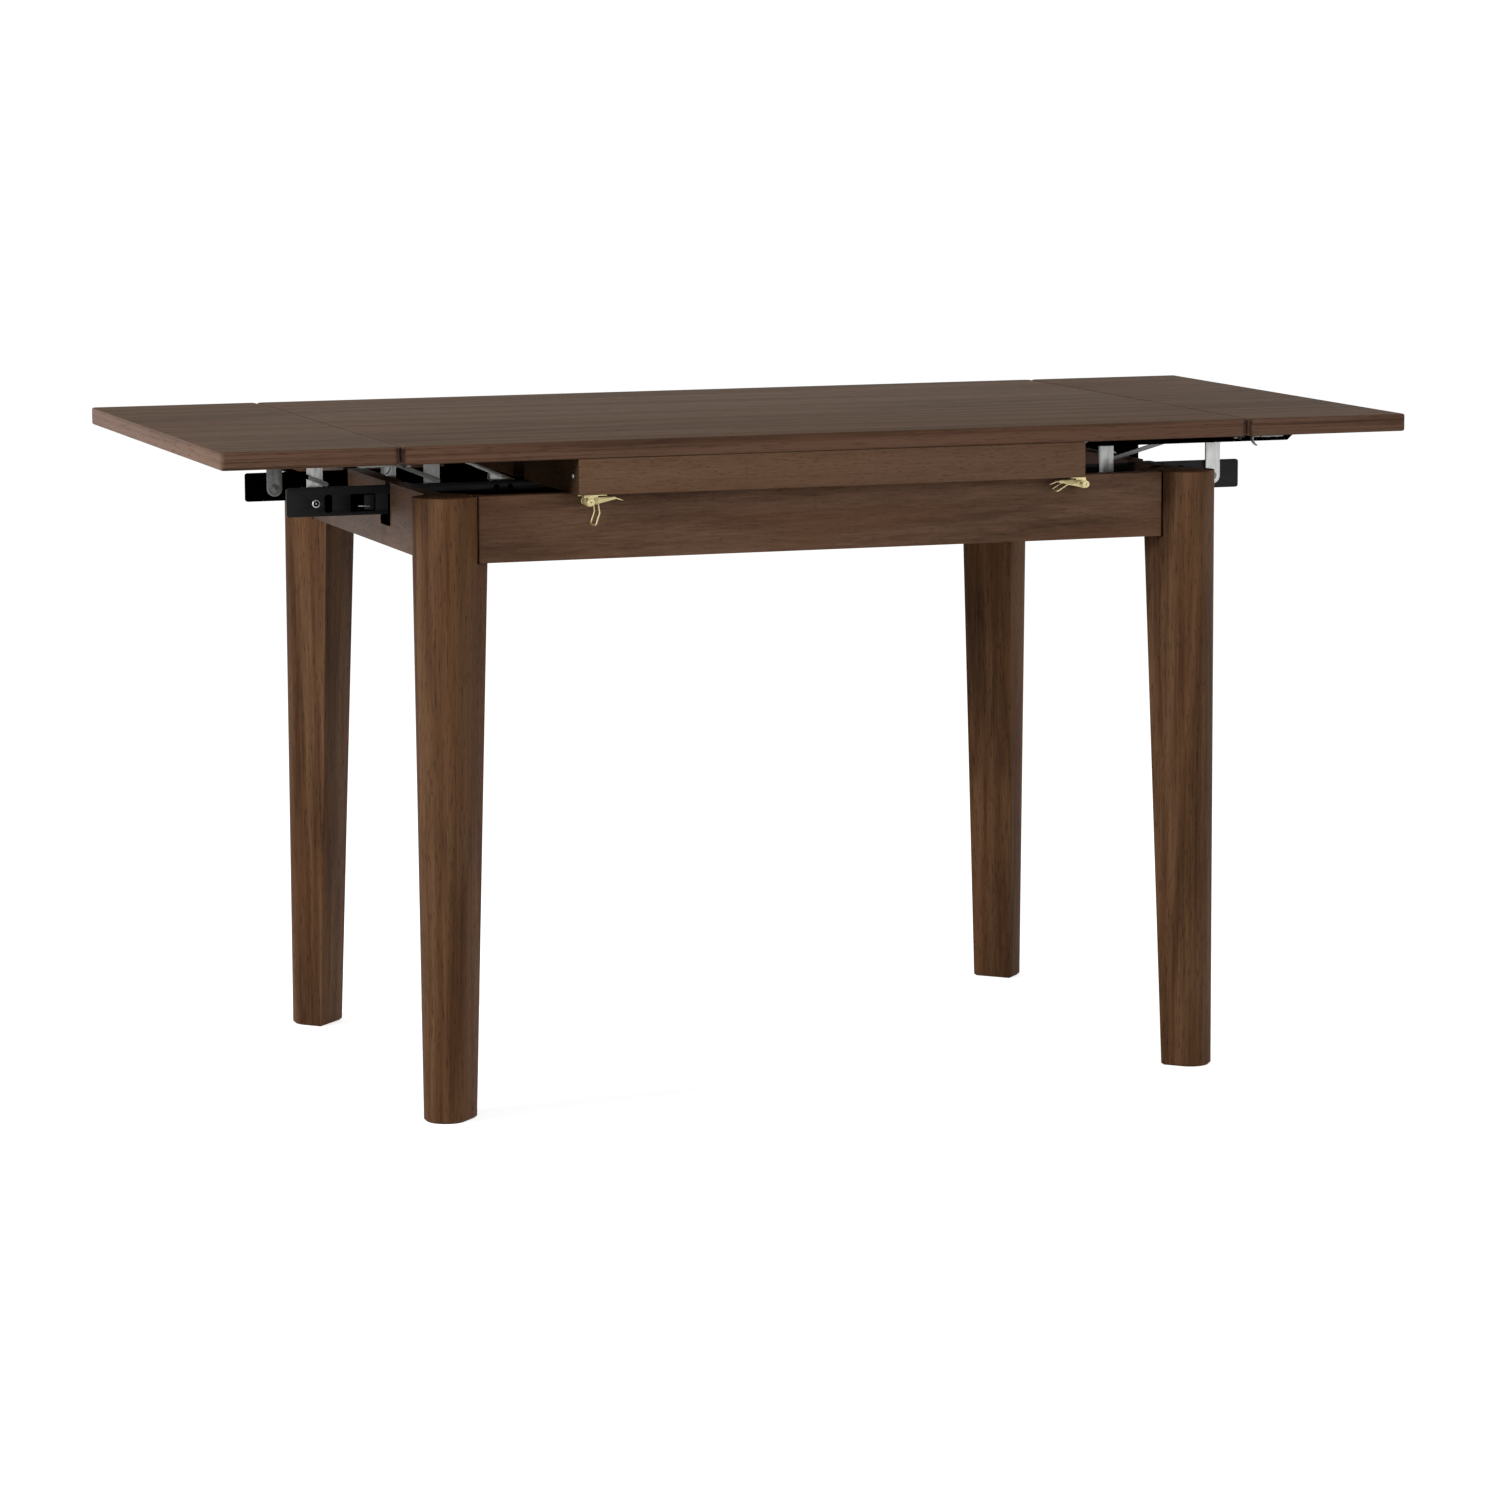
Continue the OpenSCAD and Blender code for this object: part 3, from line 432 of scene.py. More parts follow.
# which finish each solid of the frame has
def finishOf(name):
    if name in ("top", "left_leaf", "right_leaf"):
        return walnutTop, "top_wood"
    # painted shade: the short spacers take the rail wood's dark copy, for the shade under the top
    if name in ("spacer_left", "spacer_right"):
        return walnutRailShaded, "frame_wood"
    if name.startswith("spacer"):
        return walnutRail, "frame_wood"
    # painted shade: the end aprons and the cross rail take the board wood's darker copy
    if name in ("apron_left", "apron_right", "cross_rail"):
        return walnutApronEndShaded, "frame_wood"
    if name.startswith(("apron", "corner")):
        return walnutApron, "frame_wood"
    if name.startswith("leg") and name != "leg_bolts":
        return walnutLeg, "leg_wood"
    if name.endswith("front_bar"):
        return blackPaint, "black_steel"
    # painted shade: the back bars take the darker matte black, where the front bars have the satin black
    if name.endswith(("back_bar", "carrier", "channel")):
        return blackMatteAndShade, "black_steel"
    if name == "lock_keepers":
        return darkSteel, "zinc_steel"
    # painted shade: the back left outer link takes the darker grey steel, where the other links are zinc
    if name.endswith("stays") or "lock" in name or name == "left_back_outer_link":
        return greySteel, "grey_steel"
    if name.startswith(("latch", "lever", "bail")):
        return paleBrass, "brass"
    return zincPlate, "zinc_steel"


for name, node in frame["nodes"].items():
    node.data.materials.clear()
    node.data.materials.append(finishOf(name)[0])


def bodyOf(node):
    for body, members in frame["record"]["behaviour"]["bodies"].items():
        if node in members:
            return body
    return None


def finishPiece(mesh, name, body, materials, smoothAngle=35):
    piece = bpy.data.objects.new(name, mesh)
    bpy.context.scene.collection.objects.link(piece)
    picked = [p.material_index for p in mesh.polygons]
    mesh.materials.clear()
    for material in materials:
        mesh.materials.append(material)
    mesh.polygons.foreach_set("material_index", picked)
    mesh.shade_smooth()
    mesh.set_sharp_from_angle(angle=math.radians(smoothAngle))
    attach(piece, body)
    return piece


# copies of the plain solids with eased edges, which stand for them: width of the ease in mm, and its steps
easedValues = {
    "top": (1.1, 3), "leaf": (1.1, 3), "spacer": (0.9, 2), "apron": (1.6, 3), "leg_front": (1.1, 2),
    "leg_back": (1.1, 2), "cross_rail": (1.0, 2), "corner_blocks": (1.0, 2), "bar": (0.45, 2),
    "carrier": (0.3, 1), "channel": (0.3, 1), "link": (0.35, 2), "brackets": (0.2, 1), "stays": (0.3, 2),
    "lever": (0.18, 1), "latch_plates": (0.18, 1), "hooks": (0.2, 1), "keepers": (0.2, 1),
}
copyValues = {
    "merge": 0.002,          # corners of a solid's triangles nearer than this are one, in mm
    "flatAngle": 0.6,        # edges flatter than this are dissolved, in degrees
    "sharpAngle": 28,        # edges sharper than this are eased, in degrees
    "bandSlope": 0.62,       # a face of a board that is steeper than this is its edge band
    "apronEndGap": 3.4,      # how far an apron's end stands back from the leg's shoulder, in mm
    "apronEndEase": 2.4,
    "apronEndDepth": 0.01,   # corners this near to the end belong to it, in mm
    "apronEndEdge": 30,      # an upright edge of an apron's end is longer than this, in mm
    # painted shade: outboard of the next place the left outer stays take the matte black, for the shade they
    # lie in
    "stayShadeStart": 545.5,       # outboard of this the left outer stays are black, in mm
    "bracketFace": 40,       # a slanting face of a ramp bracket larger than this is dark, in square mm
    "bracketSlant": 0.3,
}


def drawEndsIn(work, axis):
    far = max(abs(v.co[axis]) for v in work.verts)
    ends = [v for v in work.verts if abs(v.co[axis]) > far - copyValues["apronEndDepth"] * mm]
    for vert in ends:
        vert.co[axis] -= math.copysign(copyValues["apronEndGap"] * mm, vert.co[axis])
    upright = [e for e in work.edges if e.verts[0] in ends and e.verts[1] in ends
               and abs(e.verts[0].co.z - e.verts[1].co.z) > copyValues["apronEndEdge"] * mm]
    bmesh.ops.bevel(work, geom=upright, offset=copyValues["apronEndEase"] * mm, offset_type="OFFSET",
                    segments=3, profile=0.5, affect="EDGES", clamp_overlap=True)


def pickFaces(work, node, materials):
    if materials[0] is walnutTop:
        materials += [walnutBand, walnutBandEnd]
        for face in work.faces:
            if abs(face.normal.z) < copyValues["bandSlope"]:
                face.material_index = 2 if abs(face.normal.x) > abs(face.normal.y) else 1
    # painted shade: the ends of the long spacers take the rail wood's dark copy
    if node in ("spacer_front", "spacer_back"):
        materials.append(walnutRailShaded)
        for face in work.faces:
            face.material_index = int(abs(face.normal.x) > copyValues["bandSlope"])
    if "brackets" in node:
        materials.append(blackMatteAndShade)
        for face in work.faces:
            large = face.calc_area() > copyValues["bracketFace"] * mm * mm
            slanting = large and abs(face.normal.y) < copyValues["bracketSlant"]
            if slanting or face.calc_center_median().y > 0:
                face.material_index = 1
    # painted shade: outboard of that place the left outer stays take the matte black, for the shade they lie
    # in
    if node == "left_outer_stays":
        materials.append(blackMatteAndShade)
        everything = work.verts[:] + work.edges[:] + work.faces[:]
        border = -copyValues["stayShadeStart"] * mm
        bmesh.ops.bisect_plane(work, geom=everything, plane_co=(border, 0, 0), plane_no=(1, 0, 0))
        for face in work.faces:
            if face.calc_center_median().x < border:
                face.material_index = 1


def easedCopy(node, width, rounds):
    work = bmesh.new()
    work.from_mesh(frame["nodes"][node].data)
    bmesh.ops.remove_doubles(work, verts=work.verts, dist=copyValues["merge"] * mm)
    bmesh.ops.dissolve_limit(work, angle_limit=math.radians(copyValues["flatAngle"]), verts=work.verts,
                             edges=work.edges)
    if node.startswith("apron"):
        drawEndsIn(work, 1 if node in ("apron_left", "apron_right") else 0)
    sharpAngle = math.radians(copyValues["sharpAngle"])
    sharp = [e for e in work.edges if len(e.link_faces) == 2 and e.calc_face_angle(0) > sharpAngle]
    bmesh.ops.bevel(work, geom=sharp, offset=width * mm, offset_type="OFFSET", segments=rounds,
                    profile=0.5, affect="EDGES", clamp_overlap=True)
    bmesh.ops.triangulate(work, faces=[f for f in work.faces if len(f.verts) > 4])
    material, slotName = finishOf(node)
    materials = [material]
    pickFaces(work, node, materials)
    mesh = bpy.data.meshes.new(node + "_eased")
    work.to_mesh(mesh)
    work.free()
    piece = finishPiece(mesh, node + "_eased", bodyOf(node), materials)
    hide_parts(node)


notEased = ("bail", "rivets", "leg_bolts")     # bails and rivets get their own pieces, the hidden bolts stay
for node in sorted(frame["nodes"]):
    if any(word in node for word in notEased):
        continue
    for key, (width, rounds) in easedValues.items():
        if key in node:
            easedCopy(node, width, rounds)
            break
    else:
        print("left as it is:", node)
print("solids eased")

# rivets and screws: a round profile grown step by step, then set on every point of a piece
# each step is shares of (the head's radius, the shank's radius, the head's height, the grip's length)
rivetSteps = [
    (0.50, 0, 0, 0), (0.60, 0, 0.14, 0), (0.62, 0, 0.24, 0), (0.92, 0, 0, 0), (1.0, 0, 0.12, 0),
    (1.0, 0, 0.50, 0), (0, 1, 0, 0), (0, 1, 0, 1), (1.0, 0, 0, 0), (1.0, 0, 0.30, 0), (0.95, 0, 0.40, 0),
    (0.84, 0, 0.30, 0), (0.70, 0, 0, 0), (0.62, 0, -0.35, 0), (0.56, 0, -0.75, 0), (0.26, 0, 0, 0),
    (0.18, 0, 0.30, 0),
]
screwSteps = [
    (0.90, 0, 0, 0), (1.0, 0, 0.20, 0), (0.97, 0, 0.30, 0), (0.86, 0, 0.30, 0), (0.66, 0, 0.16, 0),
    (0.34, 0, 0.04, 0),
]
sameSpot = 1e-7          # corners nearer than this are merged, in metres


def fastenerTree(label, steps, slotted, sides):
    tree = bpy.data.node_groups.new(label, "GeometryNodeTree")
    tree.is_modifier = True
    sockets = tree.interface
    sockets.new_socket("points", in_out="INPUT", socket_type="NodeSocketGeometry")
    for key in ("headRadius", "headHeight", "shankRadius", "gripLength", "slotWidth", "slotAngle"):
        sockets.new_socket(key, in_out="INPUT", socket_type="NodeSocketFloat")
    sockets.new_socket("seed", in_out="INPUT", socket_type="NodeSocketInt")
    sockets.new_socket("finish", in_out="INPUT", socket_type="NodeSocketMaterial")
    sockets.new_socket("fasteners", in_out="OUTPUT", socket_type="NodeSocketGeometry")
    given = tree.nodes.new("NodeGroupInput").outputs
    ended = tree.nodes.new("NodeGroupOutput")

    def mixOf(a, shareA, b, shareB):
        first, second = calc(tree, "MULTIPLY", given[a], shareA), calc(tree, "MULTIPLY", given[b], shareB)
        return calc(tree, "ADD", first, second)

    radius = mixOf("headRadius", steps[0][0], "shankRadius", steps[0][1])
    disc = addNode(tree, "GeometryNodeMeshCircle", fill_type="NGON", Vertices=sides)
    link(tree, radius, disc.inputs["Radius"])
    shape, picked = disc.outputs["Mesh"], None
    for headShare, shankShare, heightShare, gripShare in steps[1:]:
        grown = addNode(tree, "GeometryNodeExtrudeMesh", mode="FACES", Individual=False)
        link(tree, shape, grown.inputs["Mesh"])
        link(tree, mixOf("headHeight", heightShare, "gripLength", gripShare), grown.inputs["Offset Scale"])
        if picked is not None:
            link(tree, picked, grown.inputs["Selection"])
        picked = grown.outputs["Top"]
        wider = mixOf("headRadius", headShare, "shankRadius", shankShare)
        sized = addNode(tree, "GeometryNodeScaleElements", domain="FACE")
        link(tree, grown.outputs["Mesh"], sized.inputs["Geometry"])
        link(tree, picked, sized.inputs["Selection"])
        link(tree, calc(tree, "DIVIDE", wider, radius), sized.inputs["Scale"])
        shape, radius = sized.outputs["Geometry"], wider
    under = addNode(tree, "GeometryNodeFlipFaces")
    link(tree, disc.outputs["Mesh"], under.inputs["Mesh"])
    joined = addNode(tree, "GeometryNodeJoinGeometry")
    link(tree, under.outputs["Mesh"], joined.inputs["Geometry"])
    link(tree, shape, joined.inputs["Geometry"])
    closed = addNode(tree, "GeometryNodeMergeByDistance", Distance=sameSpot)
    link(tree, joined.outputs["Geometry"], closed.inputs["Geometry"])
    shape = closed.outputs["Geometry"]
    if slotted:
        cut = addNode(tree, "GeometryNodeMeshBoolean", operation="DIFFERENCE")
        link(tree, shape, cut.inputs["Mesh 1"])
        for turn in (0, 1):
            size = addNode(tree, "ShaderNodeCombineXYZ")
            link(tree, calc(tree, "MULTIPLY", given["headRadius"], 1.15), size.inputs["X"])
            link(tree, given["slotWidth"], size.inputs["Y"])
            link(tree, given["headHeight"], size.inputs["Z"])
            box = addNode(tree, "GeometryNodeMeshCube")
            link(tree, size.outputs[0], box.inputs["Size"])
            lifted = addNode(tree, "ShaderNodeCombineXYZ")
            link(tree, given["headHeight"], lifted.inputs["Z"])
            spun = addNode(tree, "ShaderNodeCombineXYZ")
            link(tree, calc(tree, "MULTIPLY", given["slotAngle"], float(turn)), spun.inputs["Z"])
            placed = addNode(tree, "GeometryNodeTransform")
            link(tree, box.outputs["Mesh"], placed.inputs["Geometry"])
            link(tree, lifted.outputs[0], placed.inputs["Translation"])
            link(tree, spun.outputs[0], placed.inputs["Rotation"])
            link(tree, placed.outputs["Geometry"], cut.inputs["Mesh 2"])
        shape = cut.outputs["Mesh"]
    facing = addNode(tree, "GeometryNodeInputNamedAttribute", data_type="FLOAT_VECTOR")
    facing.inputs["Name"].default_value = "facing"
    aimed = addNode(tree, "FunctionNodeAlignRotationToVector", axis="Z")
    link(tree, facing.outputs["Attribute"], aimed.inputs["Vector"])
    chance = addNode(tree, "FunctionNodeRandomValue", data_type="FLOAT")
    floats = [s for s in chance.inputs if s.type == "VALUE" and s.enabled]
    floats[0].default_value, floats[1].default_value = 0.0, math.tau
    link(tree, given["seed"], chance.inputs["Seed"])
    spin = addNode(tree, "ShaderNodeCombineXYZ")
    link(tree, next(s for s in chance.outputs if s.enabled), spin.inputs["Z"])
    asTurn = addNode(tree, "FunctionNodeEulerToRotation")
    link(tree, spin.outputs[0], asTurn.inputs[0])
    turned = addNode(tree, "FunctionNodeRotateRotation", rotation_space="LOCAL")
    link(tree, aimed.outputs[0], turned.inputs["Rotation"])
    link(tree, asTurn.outputs[0], turned.inputs["Rotate By"])
    spread = addNode(tree, "GeometryNodeInstanceOnPoints")
    link(tree, given["points"], spread.inputs["Points"])
    link(tree, shape, spread.inputs["Instance"])
    link(tree, turned.outputs[0], spread.inputs["Rotation"])
    real = addNode(tree, "GeometryNodeRealizeInstances")
    link(tree, spread.outputs["Instances"], real.inputs["Geometry"])
    painted = addNode(tree, "GeometryNodeSetMaterial")
    link(tree, real.outputs["Geometry"], painted.inputs["Geometry"])
    link(tree, given["finish"], painted.inputs["Material"])
    link(tree, painted.outputs["Geometry"], ended.inputs[0])
    return tree


rivetTree = fastenerTree("rivetTree", rivetSteps, False, 24)
screwTree = fastenerTree("screwTree", screwSteps, True, 20)


def growFasteners(tree, places, sizes, material):
    base = bpy.data.meshes.new("fastenerPoints")
    base.from_pydata([place for place, facing in places], [], [])
    facing = base.attributes.new("facing", "FLOAT_VECTOR", "POINT")
    facing.data.foreach_set("vector", [value for place, way in places for value in way])
    holder = bpy.data.objects.new("fastenerHolder", base)
    bpy.context.scene.collection.objects.link(holder)
    modifier = holder.modifiers.new("fasteners", "NODES")
    modifier.node_group = tree
    names = {item.name: item.identifier for item in tree.interface.items_tree if item.in_out == "INPUT"}
    for key, value in sizes.items():
        if key in names:
            modifier[names[key]] = value if key in ("seed", "slotAngle") else value * mm
    modifier[names["finish"]] = material
    depsgraph = bpy.context.evaluated_depsgraph_get()
    mesh = bpy.data.meshes.new_from_object(holder.evaluated_get(depsgraph), depsgraph=depsgraph)
    holder.modifiers.clear()
    bpy.data.objects.remove(holder)
    return mesh


# which faces of a hollow rivet are painted dark, as painted shade in its hollow: shares of the head's radius,
# and the depth of its far head in mm
hollowShadeValues = {"near": 0.3, "far": 0.67, "reach": 1.1, "farHead": 1.3}


def partOf(centre, places, sizes):       # 0 the fastener's own finish, 1 its dark hollow, 2 its far head
    for place, way in places:
        off = centre - Vector(place)
        depth = off.dot(Vector(way))
        share = (off - Vector(way) * depth).length / (sizes["headRadius"] * mm)
        if share > hollowShadeValues["reach"] or abs(depth) > 2 * sizes["gripLength"] * mm:
            continue
        if "farFinish" in sizes and depth < hollowShadeValues["farHead"] * mm:
            return sizes["farFinish"]
        # painted shade: the faces inside a rivet's hollow take the dark finish
        inside = hollowShadeValues["near"] < share < hollowShadeValues["far"]
        if sizes.get("hollow") and inside and depth > sizes["gripLength"] * mm:
            return 1
    return sizes.get("ownFinish", 0)


def fastenerPiece(groups, name, body, materials, stands=()):
    work = bmesh.new()
    for tree, places, sizes in groups:
        known = len(work.faces)
        mesh = growFasteners(tree, places, sizes, materials[0])
        work.from_mesh(mesh)
        bpy.data.meshes.remove(mesh)
        work.faces.ensure_lookup_table()
        for face in work.faces[known:]:
            face.material_index = partOf(face.calc_center_median(), places, sizes)
    bmesh.ops.remove_doubles(work, verts=work.verts, dist=sameSpot)
    bmesh.ops.triangulate(work, faces=[f for f in work.faces if len(f.verts) > 4])
    joined = bpy.data.meshes.new(name)
    work.to_mesh(joined)
    work.free()
    piece = finishPiece(joined, name, body, materials)
    if stands:
        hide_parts(*stands)
    print(name, len(joined.polygons), "faces")


# the lift's own frame: x outboard, t away from the bar's outer face, z up, all in mm
# the four face values are the t of the rivets' far heads
liftValues = {
    "lane": {"left": 99.0, "right": 145.5},
    "pivots": (537.0, 401.0), "pivotLow": 671.5, "pivotHigh": 721.5,
    "stayPins": {"left": (594.0, 464.0), "right": (506.5,)}, "stayPinHeight": 721.0,
    "bracketRivets": (310.0, 326.0), "bracketRivetHeight": 683.0,
    "barFace": 8.2, "bracketFace": 5.6, "carrierFace": 10.3, "stayFace": 10.1,
}
rivetValues = {
    "bar": {"headRadius": 4.7, "headHeight": 1.2, "shankRadius": 3.0, "gripLength": 7.0,
            "hollow": True, "farFinish": 2},
    "carrier": {"headRadius": 4.6, "headHeight": 1.2, "shankRadius": 3.0, "gripLength": 5.5},
    "stay": {"headRadius": 3.2, "headHeight": 1.0, "shankRadius": 2.0, "gripLength": 9.3},
    "bracket": {"headRadius": 3.2, "headHeight": 0.9, "shankRadius": 2.0, "gripLength": 4.7, "ownFinish": 1},
}
sides, rows = ("left", "right"), ("front", "back")
outboardOf, acrossOf = {"left": -1, "right": 1}, {"front": -1, "back": 1}      # their signs on x and on y


def seat(side, row, x, t, z):
    outboard, across = outboardOf[side], acrossOf[row]
    return (outboard * x * mm, across * (liftValues["lane"][side] + outboard * t) * mm, z * mm)


def outward(side, row):      # from the far side of a bar towards its outer face
    return (0, -outboardOf[side] * acrossOf[row], 0)


def rivetGroup(side, kind, xs, t, z):
    places = [(seat(side, row, x, t, z), outward(side, row)) for row in rows for x in xs]
    return rivetTree, places, rivetValues[kind]


lift = liftValues
for side in sides:
    node = side + "_bar_rivets"
    pivots = rivetGroup(side, "bar", lift["pivots"], lift["barFace"], lift["pivotLow"])
    brackets = rivetGroup(side, "bracket", lift["bracketRivets"], lift["bracketFace"],
                          lift["bracketRivetHeight"])
    fastenerPiece([pivots, brackets], node + "_domed", bodyOf(node), [zincPlate, blackMatteAndShade, greySteel],
                  [node])
    node = side + "_carrier_rivets"
    pivots = rivetGroup(side, "carrier", lift["pivots"], lift["carrierFace"], lift["pivotHigh"])
    stays = rivetGroup(side, "stay", lift["stayPins"][side], lift["stayFace"], lift["stayPinHeight"])
    fastenerPiece([pivots, stays], node + "_domed", bodyOf(node), [zincPlate], [node])
print("rivets ready")

# screws: the sizes of each kind, and where they stand, in mm
screwValues = {
    "wood": {"headRadius": 2.7, "headHeight": 1.2, "shankRadius": 2.0, "gripLength": 3.0,
             "slotWidth": 0.8, "slotAngle": math.pi / 2, "seed": 4},
    # painted shade: the flange screws take the matte black, as the flanges lie in deep shade
    "flange": {"headRadius": 3.4, "headHeight": 1.4, "shankRadius": 2.0, "gripLength": 3.0,
               "slotWidth": 1.0, "slotAngle": math.pi / 2, "seed": 7, "ownFinish": 1},
    "small": {"headRadius": 2.4, "headHeight": 0.9, "shankRadius": 1.5, "gripLength": 3.0,
              "slotWidth": 0.7, "slotAngle": math.pi / 2, "seed": 9},
    "disc": {"headRadius": 4.3, "headHeight": 0.9, "shankRadius": 2.0, "gripLength": 3.0,
             "slotWidth": 1.2, "slotAngle": math.pi / 3, "seed": 2},
}
fixingValues = {
    "spacerEnd": (300.0, 309.0, 713.0),          # x, y and height of the screws in the ends of the long rails
    "flange": (454.5, 24.0, 649.9),              # x, t and height of the screws in the channels' flanges
    "carrier": ((520.0, 575.0, 630.0), 1.2, 731.0),
    "hook": ((530.0, 541.0), 320.0, 731.4), "keeper": (489.5, 320.0, 731.6),
    "latch": {"left": (289.5, 273.5), "right": (296.0, 287.0)}, "latchRow": 315.0, "latchHeight": 691.8,
}


def mirrored(x, y, z, way):
    signs = ((-1, -1), (-1, 1), (1, -1), (1, 1))
    return [((sx * x * mm, sy * y * mm, z * mm), (sx * way[0], sy * way[1], way[2])) for sx, sy in signs]


fixing = fixingValues
endScrews = mirrored(*fixing["spacerEnd"], (1, 0, 0))
flangeScrews = [(seat(side, row, *fixing["flange"]), (outboardOf[side], 0, 0))
                for side in sides for row in rows]
keeperScrews = mirrored(*fixing["keeper"], (0, 0, -1))
fastenerPiece([(screwTree, endScrews, screwValues["wood"]), (screwTree, flangeScrews, screwValues["flange"]),
               (screwTree, keeperScrews, screwValues["small"])],
              "frame_screws", bodyOf("spacer_front"), [zincPlate, blackMatteAndShade])
rowY, rowZ = fixing["latchRow"], fixing["latchHeight"]
latchScrews = [((outboardOf[side] * x * mm, acrossOf[row] * rowY * mm, rowZ * mm), (0, 0, -1))
               for side in sides for row in rows for x in fixing["latch"][side]]
fastenerPiece([(screwTree, latchScrews, screwValues["small"])], "latch_screws", bodyOf("latch_plates"),
              [paleBrass])
for side in sides:
    xs, t, z = fixing["carrier"]
    flat = [(seat(side, row, x, t, z), (0, 0, -1)) for row in rows for x in xs]
    hookXs, hookY, hookZ = fixing["hook"]
    flat += [((outboardOf[side] * x * mm, acrossOf[row] * hookY * mm, hookZ * mm), (0, 0, -1))
             for row in rows for x in hookXs]
    fastenerPiece([(screwTree, flat, screwValues["small"])], side + "_carrier_screws",
                  bodyOf(side + "_leaf"), [greySteel])
print("screws ready")

# in each bar's window a dark catch plate, a tab and a bright spring, and at its stop holes a cover and plugs;
# the dark plate, cover and plugs are partly painted shade, dark pieces where the window and holes lie in
# shade
# each outline is (x from, x to, z from, z to), and near and far are places on t
catchValues = {
    "plate": (466.5, 501.5, 658.6, 684.0), "plateRound": 2.0, "near": 3.55, "far": 4.7,
    "spring": ((474.5, 667.0), (488.0, 667.6), (488.0, 666.5), (474.5, 665.9)), "springNear": 1.6,
    "springBite": 0.3, "springEase": 0.1,
    "tab": (469.0, 480.5, 662.5, 679.5), "tabRound": 1.5, "tabNear": 1.9, "tabBite": 0.2,
    "cover": (518.6, 527.2, 660.8, 681.2), "coverRound": 3.0, "coverNear": -0.4, "coverFar": 0.3,
    "plugs": ((523.0, 665.5), (523.0, 676.5)), "plugRadius": 2.32, "plugNear": -0.9, "plugFar": 3.4,
    "ease": 0.2, "rimAngle": 0.6,
}


def prism(work, side, row, outline, near, far, ease):
    rings = [[work.verts.new(seat(side, row, x, t, z)) for x, z in outline] for t in (near, far)]
    faces = [work.faces.new(rings[0]), work.faces.new(rings[1][::-1])]
    for i in range(len(outline)):
        j = (i + 1) % len(outline)
        faces.append(work.faces.new((rings[0][j], rings[0][i], rings[1][i], rings[1][j])))
    bmesh.ops.recalc_face_normals(work, faces=faces)
    edges = dict.fromkeys(e for f in faces for e in f.edges)
    rims = [e for e in edges if e.calc_face_angle(0) > catchValues["rimAngle"]]
    bmesh.ops.bevel(work, geom=rims, offset=ease * mm, segments=2, profile=0.5, affect="EDGES",
                    clamp_overlap=True)


def roundedBox(x0, x1, z0, z1, radius, steps=5):
    corners = ((x1 - radius, z1 - radius, 0), (x0 + radius, z1 - radius, 90),
               (x0 + radius, z0 + radius, 180), (x1 - radius, z0 + radius, 270))
    turns = [(x, z, math.radians(a + 90 * k / steps)) for x, z, a in corners for k in range(steps + 1)]
    return [(x + radius * math.cos(turn), z + radius * math.sin(turn)) for x, z, turn in turns]


def ringOf(x, z, radius, count=24):
    turns = [math.tau * k / count for k in range(count)]
    return [(x + radius * math.cos(turn), z + radius * math.sin(turn)) for turn in turns]


def meshFrom(work, name):
    bmesh.ops.triangulate(work, faces=[f for f in work.faces if len(f.verts) > 4])
    mesh = bpy.data.meshes.new(name)
    work.to_mesh(mesh)
    work.free()
    return mesh


for side in sides:
    catch = catchValues
    dark, bright = bmesh.new(), bmesh.new()
    for row in rows:
        tab = roundedBox(*catch["tab"], catch["tabRound"])
        prism(dark, side, row, tab, catch["tabNear"], catch["near"] + catch["tabBite"], catch["ease"])
    for face in dark.faces:
        face.material_index = 1
    for row in rows:
        # painted shade, in part: the dark cover and plugs fill the stop holes, which lie in shade
        cover = roundedBox(*catch["cover"], catch["coverRound"])
        prism(dark, side, row, cover, catch["coverNear"], catch["coverFar"], catch["ease"])
        plate = roundedBox(*catch["plate"], catch["plateRound"])
        prism(dark, side, row, plate, catch["near"], catch["far"], catch["ease"])
        for x, z in catch["plugs"]:
            plug = ringOf(x, z, catch["plugRadius"])
            prism(dark, side, row, plug, catch["plugNear"], catch["plugFar"], catch["ease"])
        springFar = catch["near"] + catch["springBite"]
        prism(bright, side, row, catch["spring"], catch["springNear"], springFar, catch["springEase"])
    body = bodyOf(side + "_front_bar")
    finishPiece(meshFrom(dark, side + "_bar_catches"), side + "_bar_catches", body,
                [blackMatteAndShade, darkSteel])
    finishPiece(meshFrom(bright, side + "_catch_springs"), side + "_catch_springs", body,
                [zincPlate])
print("bar fittings ready")

# wire bails of the latches: one bent wire with an eye at each end, and the pivot discs on the latch plates
latchValues = {
    "face": 315.0, "pivotHeight": 684.8, "pivotX": {"left": 285.5, "right": 301.5},
    "earOut": 12.0, "bailOut": 8.6, "bailRise": 1.0, "halfSpan": 8.6, "kneeSpan": 9.8, "wire": 0.8,
    "eyeRadius": 1.45, "upper": 13.3, "lower": 14.2, "bend": 27.0, "swing": {"left": 8.0, "right": 86.0},
    "bendRound": 3.0, "cornerRound": 2.4, "wireSides": 12,
    "eyeStart": 0.9, "eyeGrow": 1.1, "eyeWire": 0.62, "eyeSteps": 20, "eyeSides": 10,
}


def latchPoint(side, row, x, y, z):      # x from the pivot towards the lever's tip, y outward, z up, in mm
    latch = latchValues
    outboard, across = outboardOf[side] * (latch["pivotX"][side] - x), acrossOf[row] * (latch["face"] + y)
    return Vector((outboard * mm, across * mm, (latch["pivotHeight"] + z) * mm))


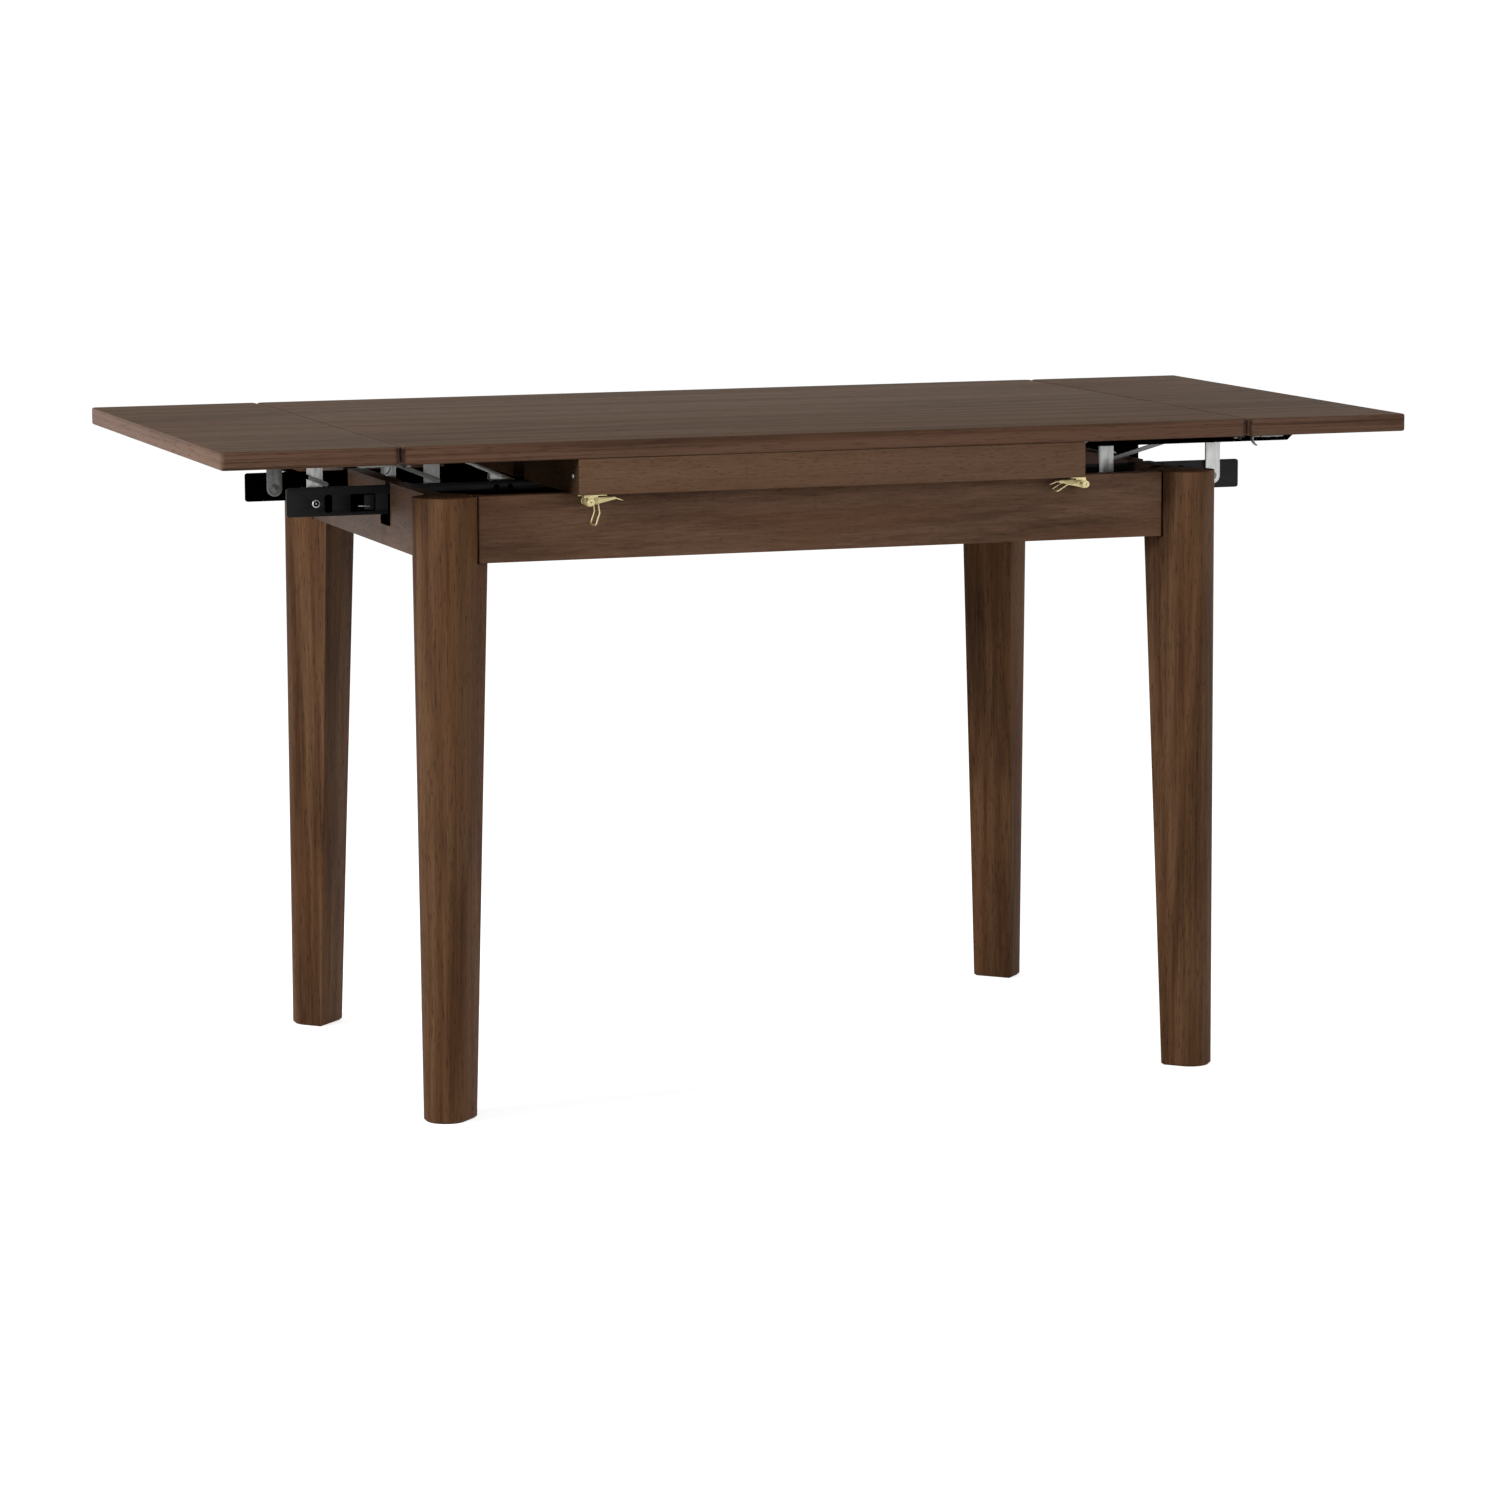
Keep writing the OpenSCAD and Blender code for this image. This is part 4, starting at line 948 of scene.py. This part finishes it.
def roundedPath(points, radii, steps=6):
    path = [points[0]]
    for i in range(1, len(points) - 1):
        before = (points[i - 1] - points[i]).normalized()
        after = (points[i + 1] - points[i]).normalized()
        opening = before.angle(after)
        reach = radii[i - 1] / math.tan(opening / 2)
        centre = points[i] + (before + after).normalized() * (radii[i - 1] / math.sin(opening / 2))
        first, last = points[i] + before * reach - centre, points[i] + after * reach - centre
        for k in range(steps + 1):
            path.append(centre + first.slerp(last, k / steps).normalized() * radii[i - 1])
    return path + [points[-1]]


def wireTube(work, path, radius, count, closed=False):
    rings = []
    size = len(path)
    side = None
    for i, point in enumerate(path):
        ahead = path[(i + 1) % size] if closed or i < size - 1 else point
        behind = path[i - 1] if closed or i > 0 else point
        way = (ahead - behind).normalized()
        side = way.orthogonal() if side is None else side - way * side.dot(way)
        side.normalize()
        other = way.cross(side)
        turns = [math.tau * k / count for k in range(count)]
        spokes = [side * math.cos(turn) + other * math.sin(turn) for turn in turns]
        rings.append([work.verts.new(point + spoke * radius) for spoke in spokes])
    pairs = [(i, (i + 1) % size) for i in range(size if closed else size - 1)]
    faces = [work.faces.new((rings[a][k], rings[a][(k + 1) % count], rings[b][(k + 1) % count], rings[b][k]))
             for a, b in pairs for k in range(count)]
    if not closed:
        faces += [work.faces.new(rings[0][::-1]), work.faces.new(rings[-1])]
    bmesh.ops.recalc_face_normals(work, faces=faces)


def bailPiece(side, row):
    latch = latchValues
    swing = math.radians(latch["swing"][side])
    bend = math.radians(latch["bend"]) - swing

    def spot(x, y, z):
        return latchPoint(side, row, latch["bailOut"] + x, y, latch["bailRise"] + z)

    knee = (latch["upper"] * math.sin(swing), -latch["upper"] * math.cos(swing))
    foot = (knee[0] - latch["lower"] * math.sin(bend), knee[1] - latch["lower"] * math.cos(bend))
    start = latch["eyeRadius"] * latch["eyeStart"]
    head = (start * math.sin(swing), -start * math.cos(swing))
    span, wide = latch["halfSpan"], latch["kneeSpan"]
    corners = [spot(head[0], -span, head[1]), spot(knee[0], -wide, knee[1]), spot(foot[0], -wide, foot[1]),
               spot(foot[0], wide, foot[1]), spot(knee[0], wide, knee[1]), spot(head[0], span, head[1])]
    radii = [latch[key] * mm for key in ("bendRound", "cornerRound", "cornerRound", "bendRound")]
    work = bmesh.new()
    wireTube(work, roundedPath(corners, radii), latch["wire"] * mm, latch["wireSides"])
    for y in (-span, span):
        ring = ringOf(0, 0, latch["eyeRadius"] * latch["eyeGrow"], latch["eyeSteps"])
        eye = [spot(x, y, z) for x, z in ring]
        wireTube(work, eye, latch["wire"] * latch["eyeWire"] * mm, latch["eyeSides"], True)
    node = "bail_" + row + "_" + side
    mesh = meshFrom(work, node + "_wire")
    piece = finishPiece(mesh, node + "_wire", bodyOf(node), [paleBrass], 60)
    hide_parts(node)


for side in sides:
    for row in rows:
        bailPiece(side, row)
latchDiscs = [(latchPoint(side, row, 0, way * latchValues["earOut"], 0), (0, way * acrossOf[row], 0))
              for side in sides for row in rows for way in (-1, 1)]
fastenerPiece([(screwTree, latchDiscs, screwValues["disc"])], "latch_discs", bodyOf("latch_plates"),
              [paleBrass])
print("latches ready")
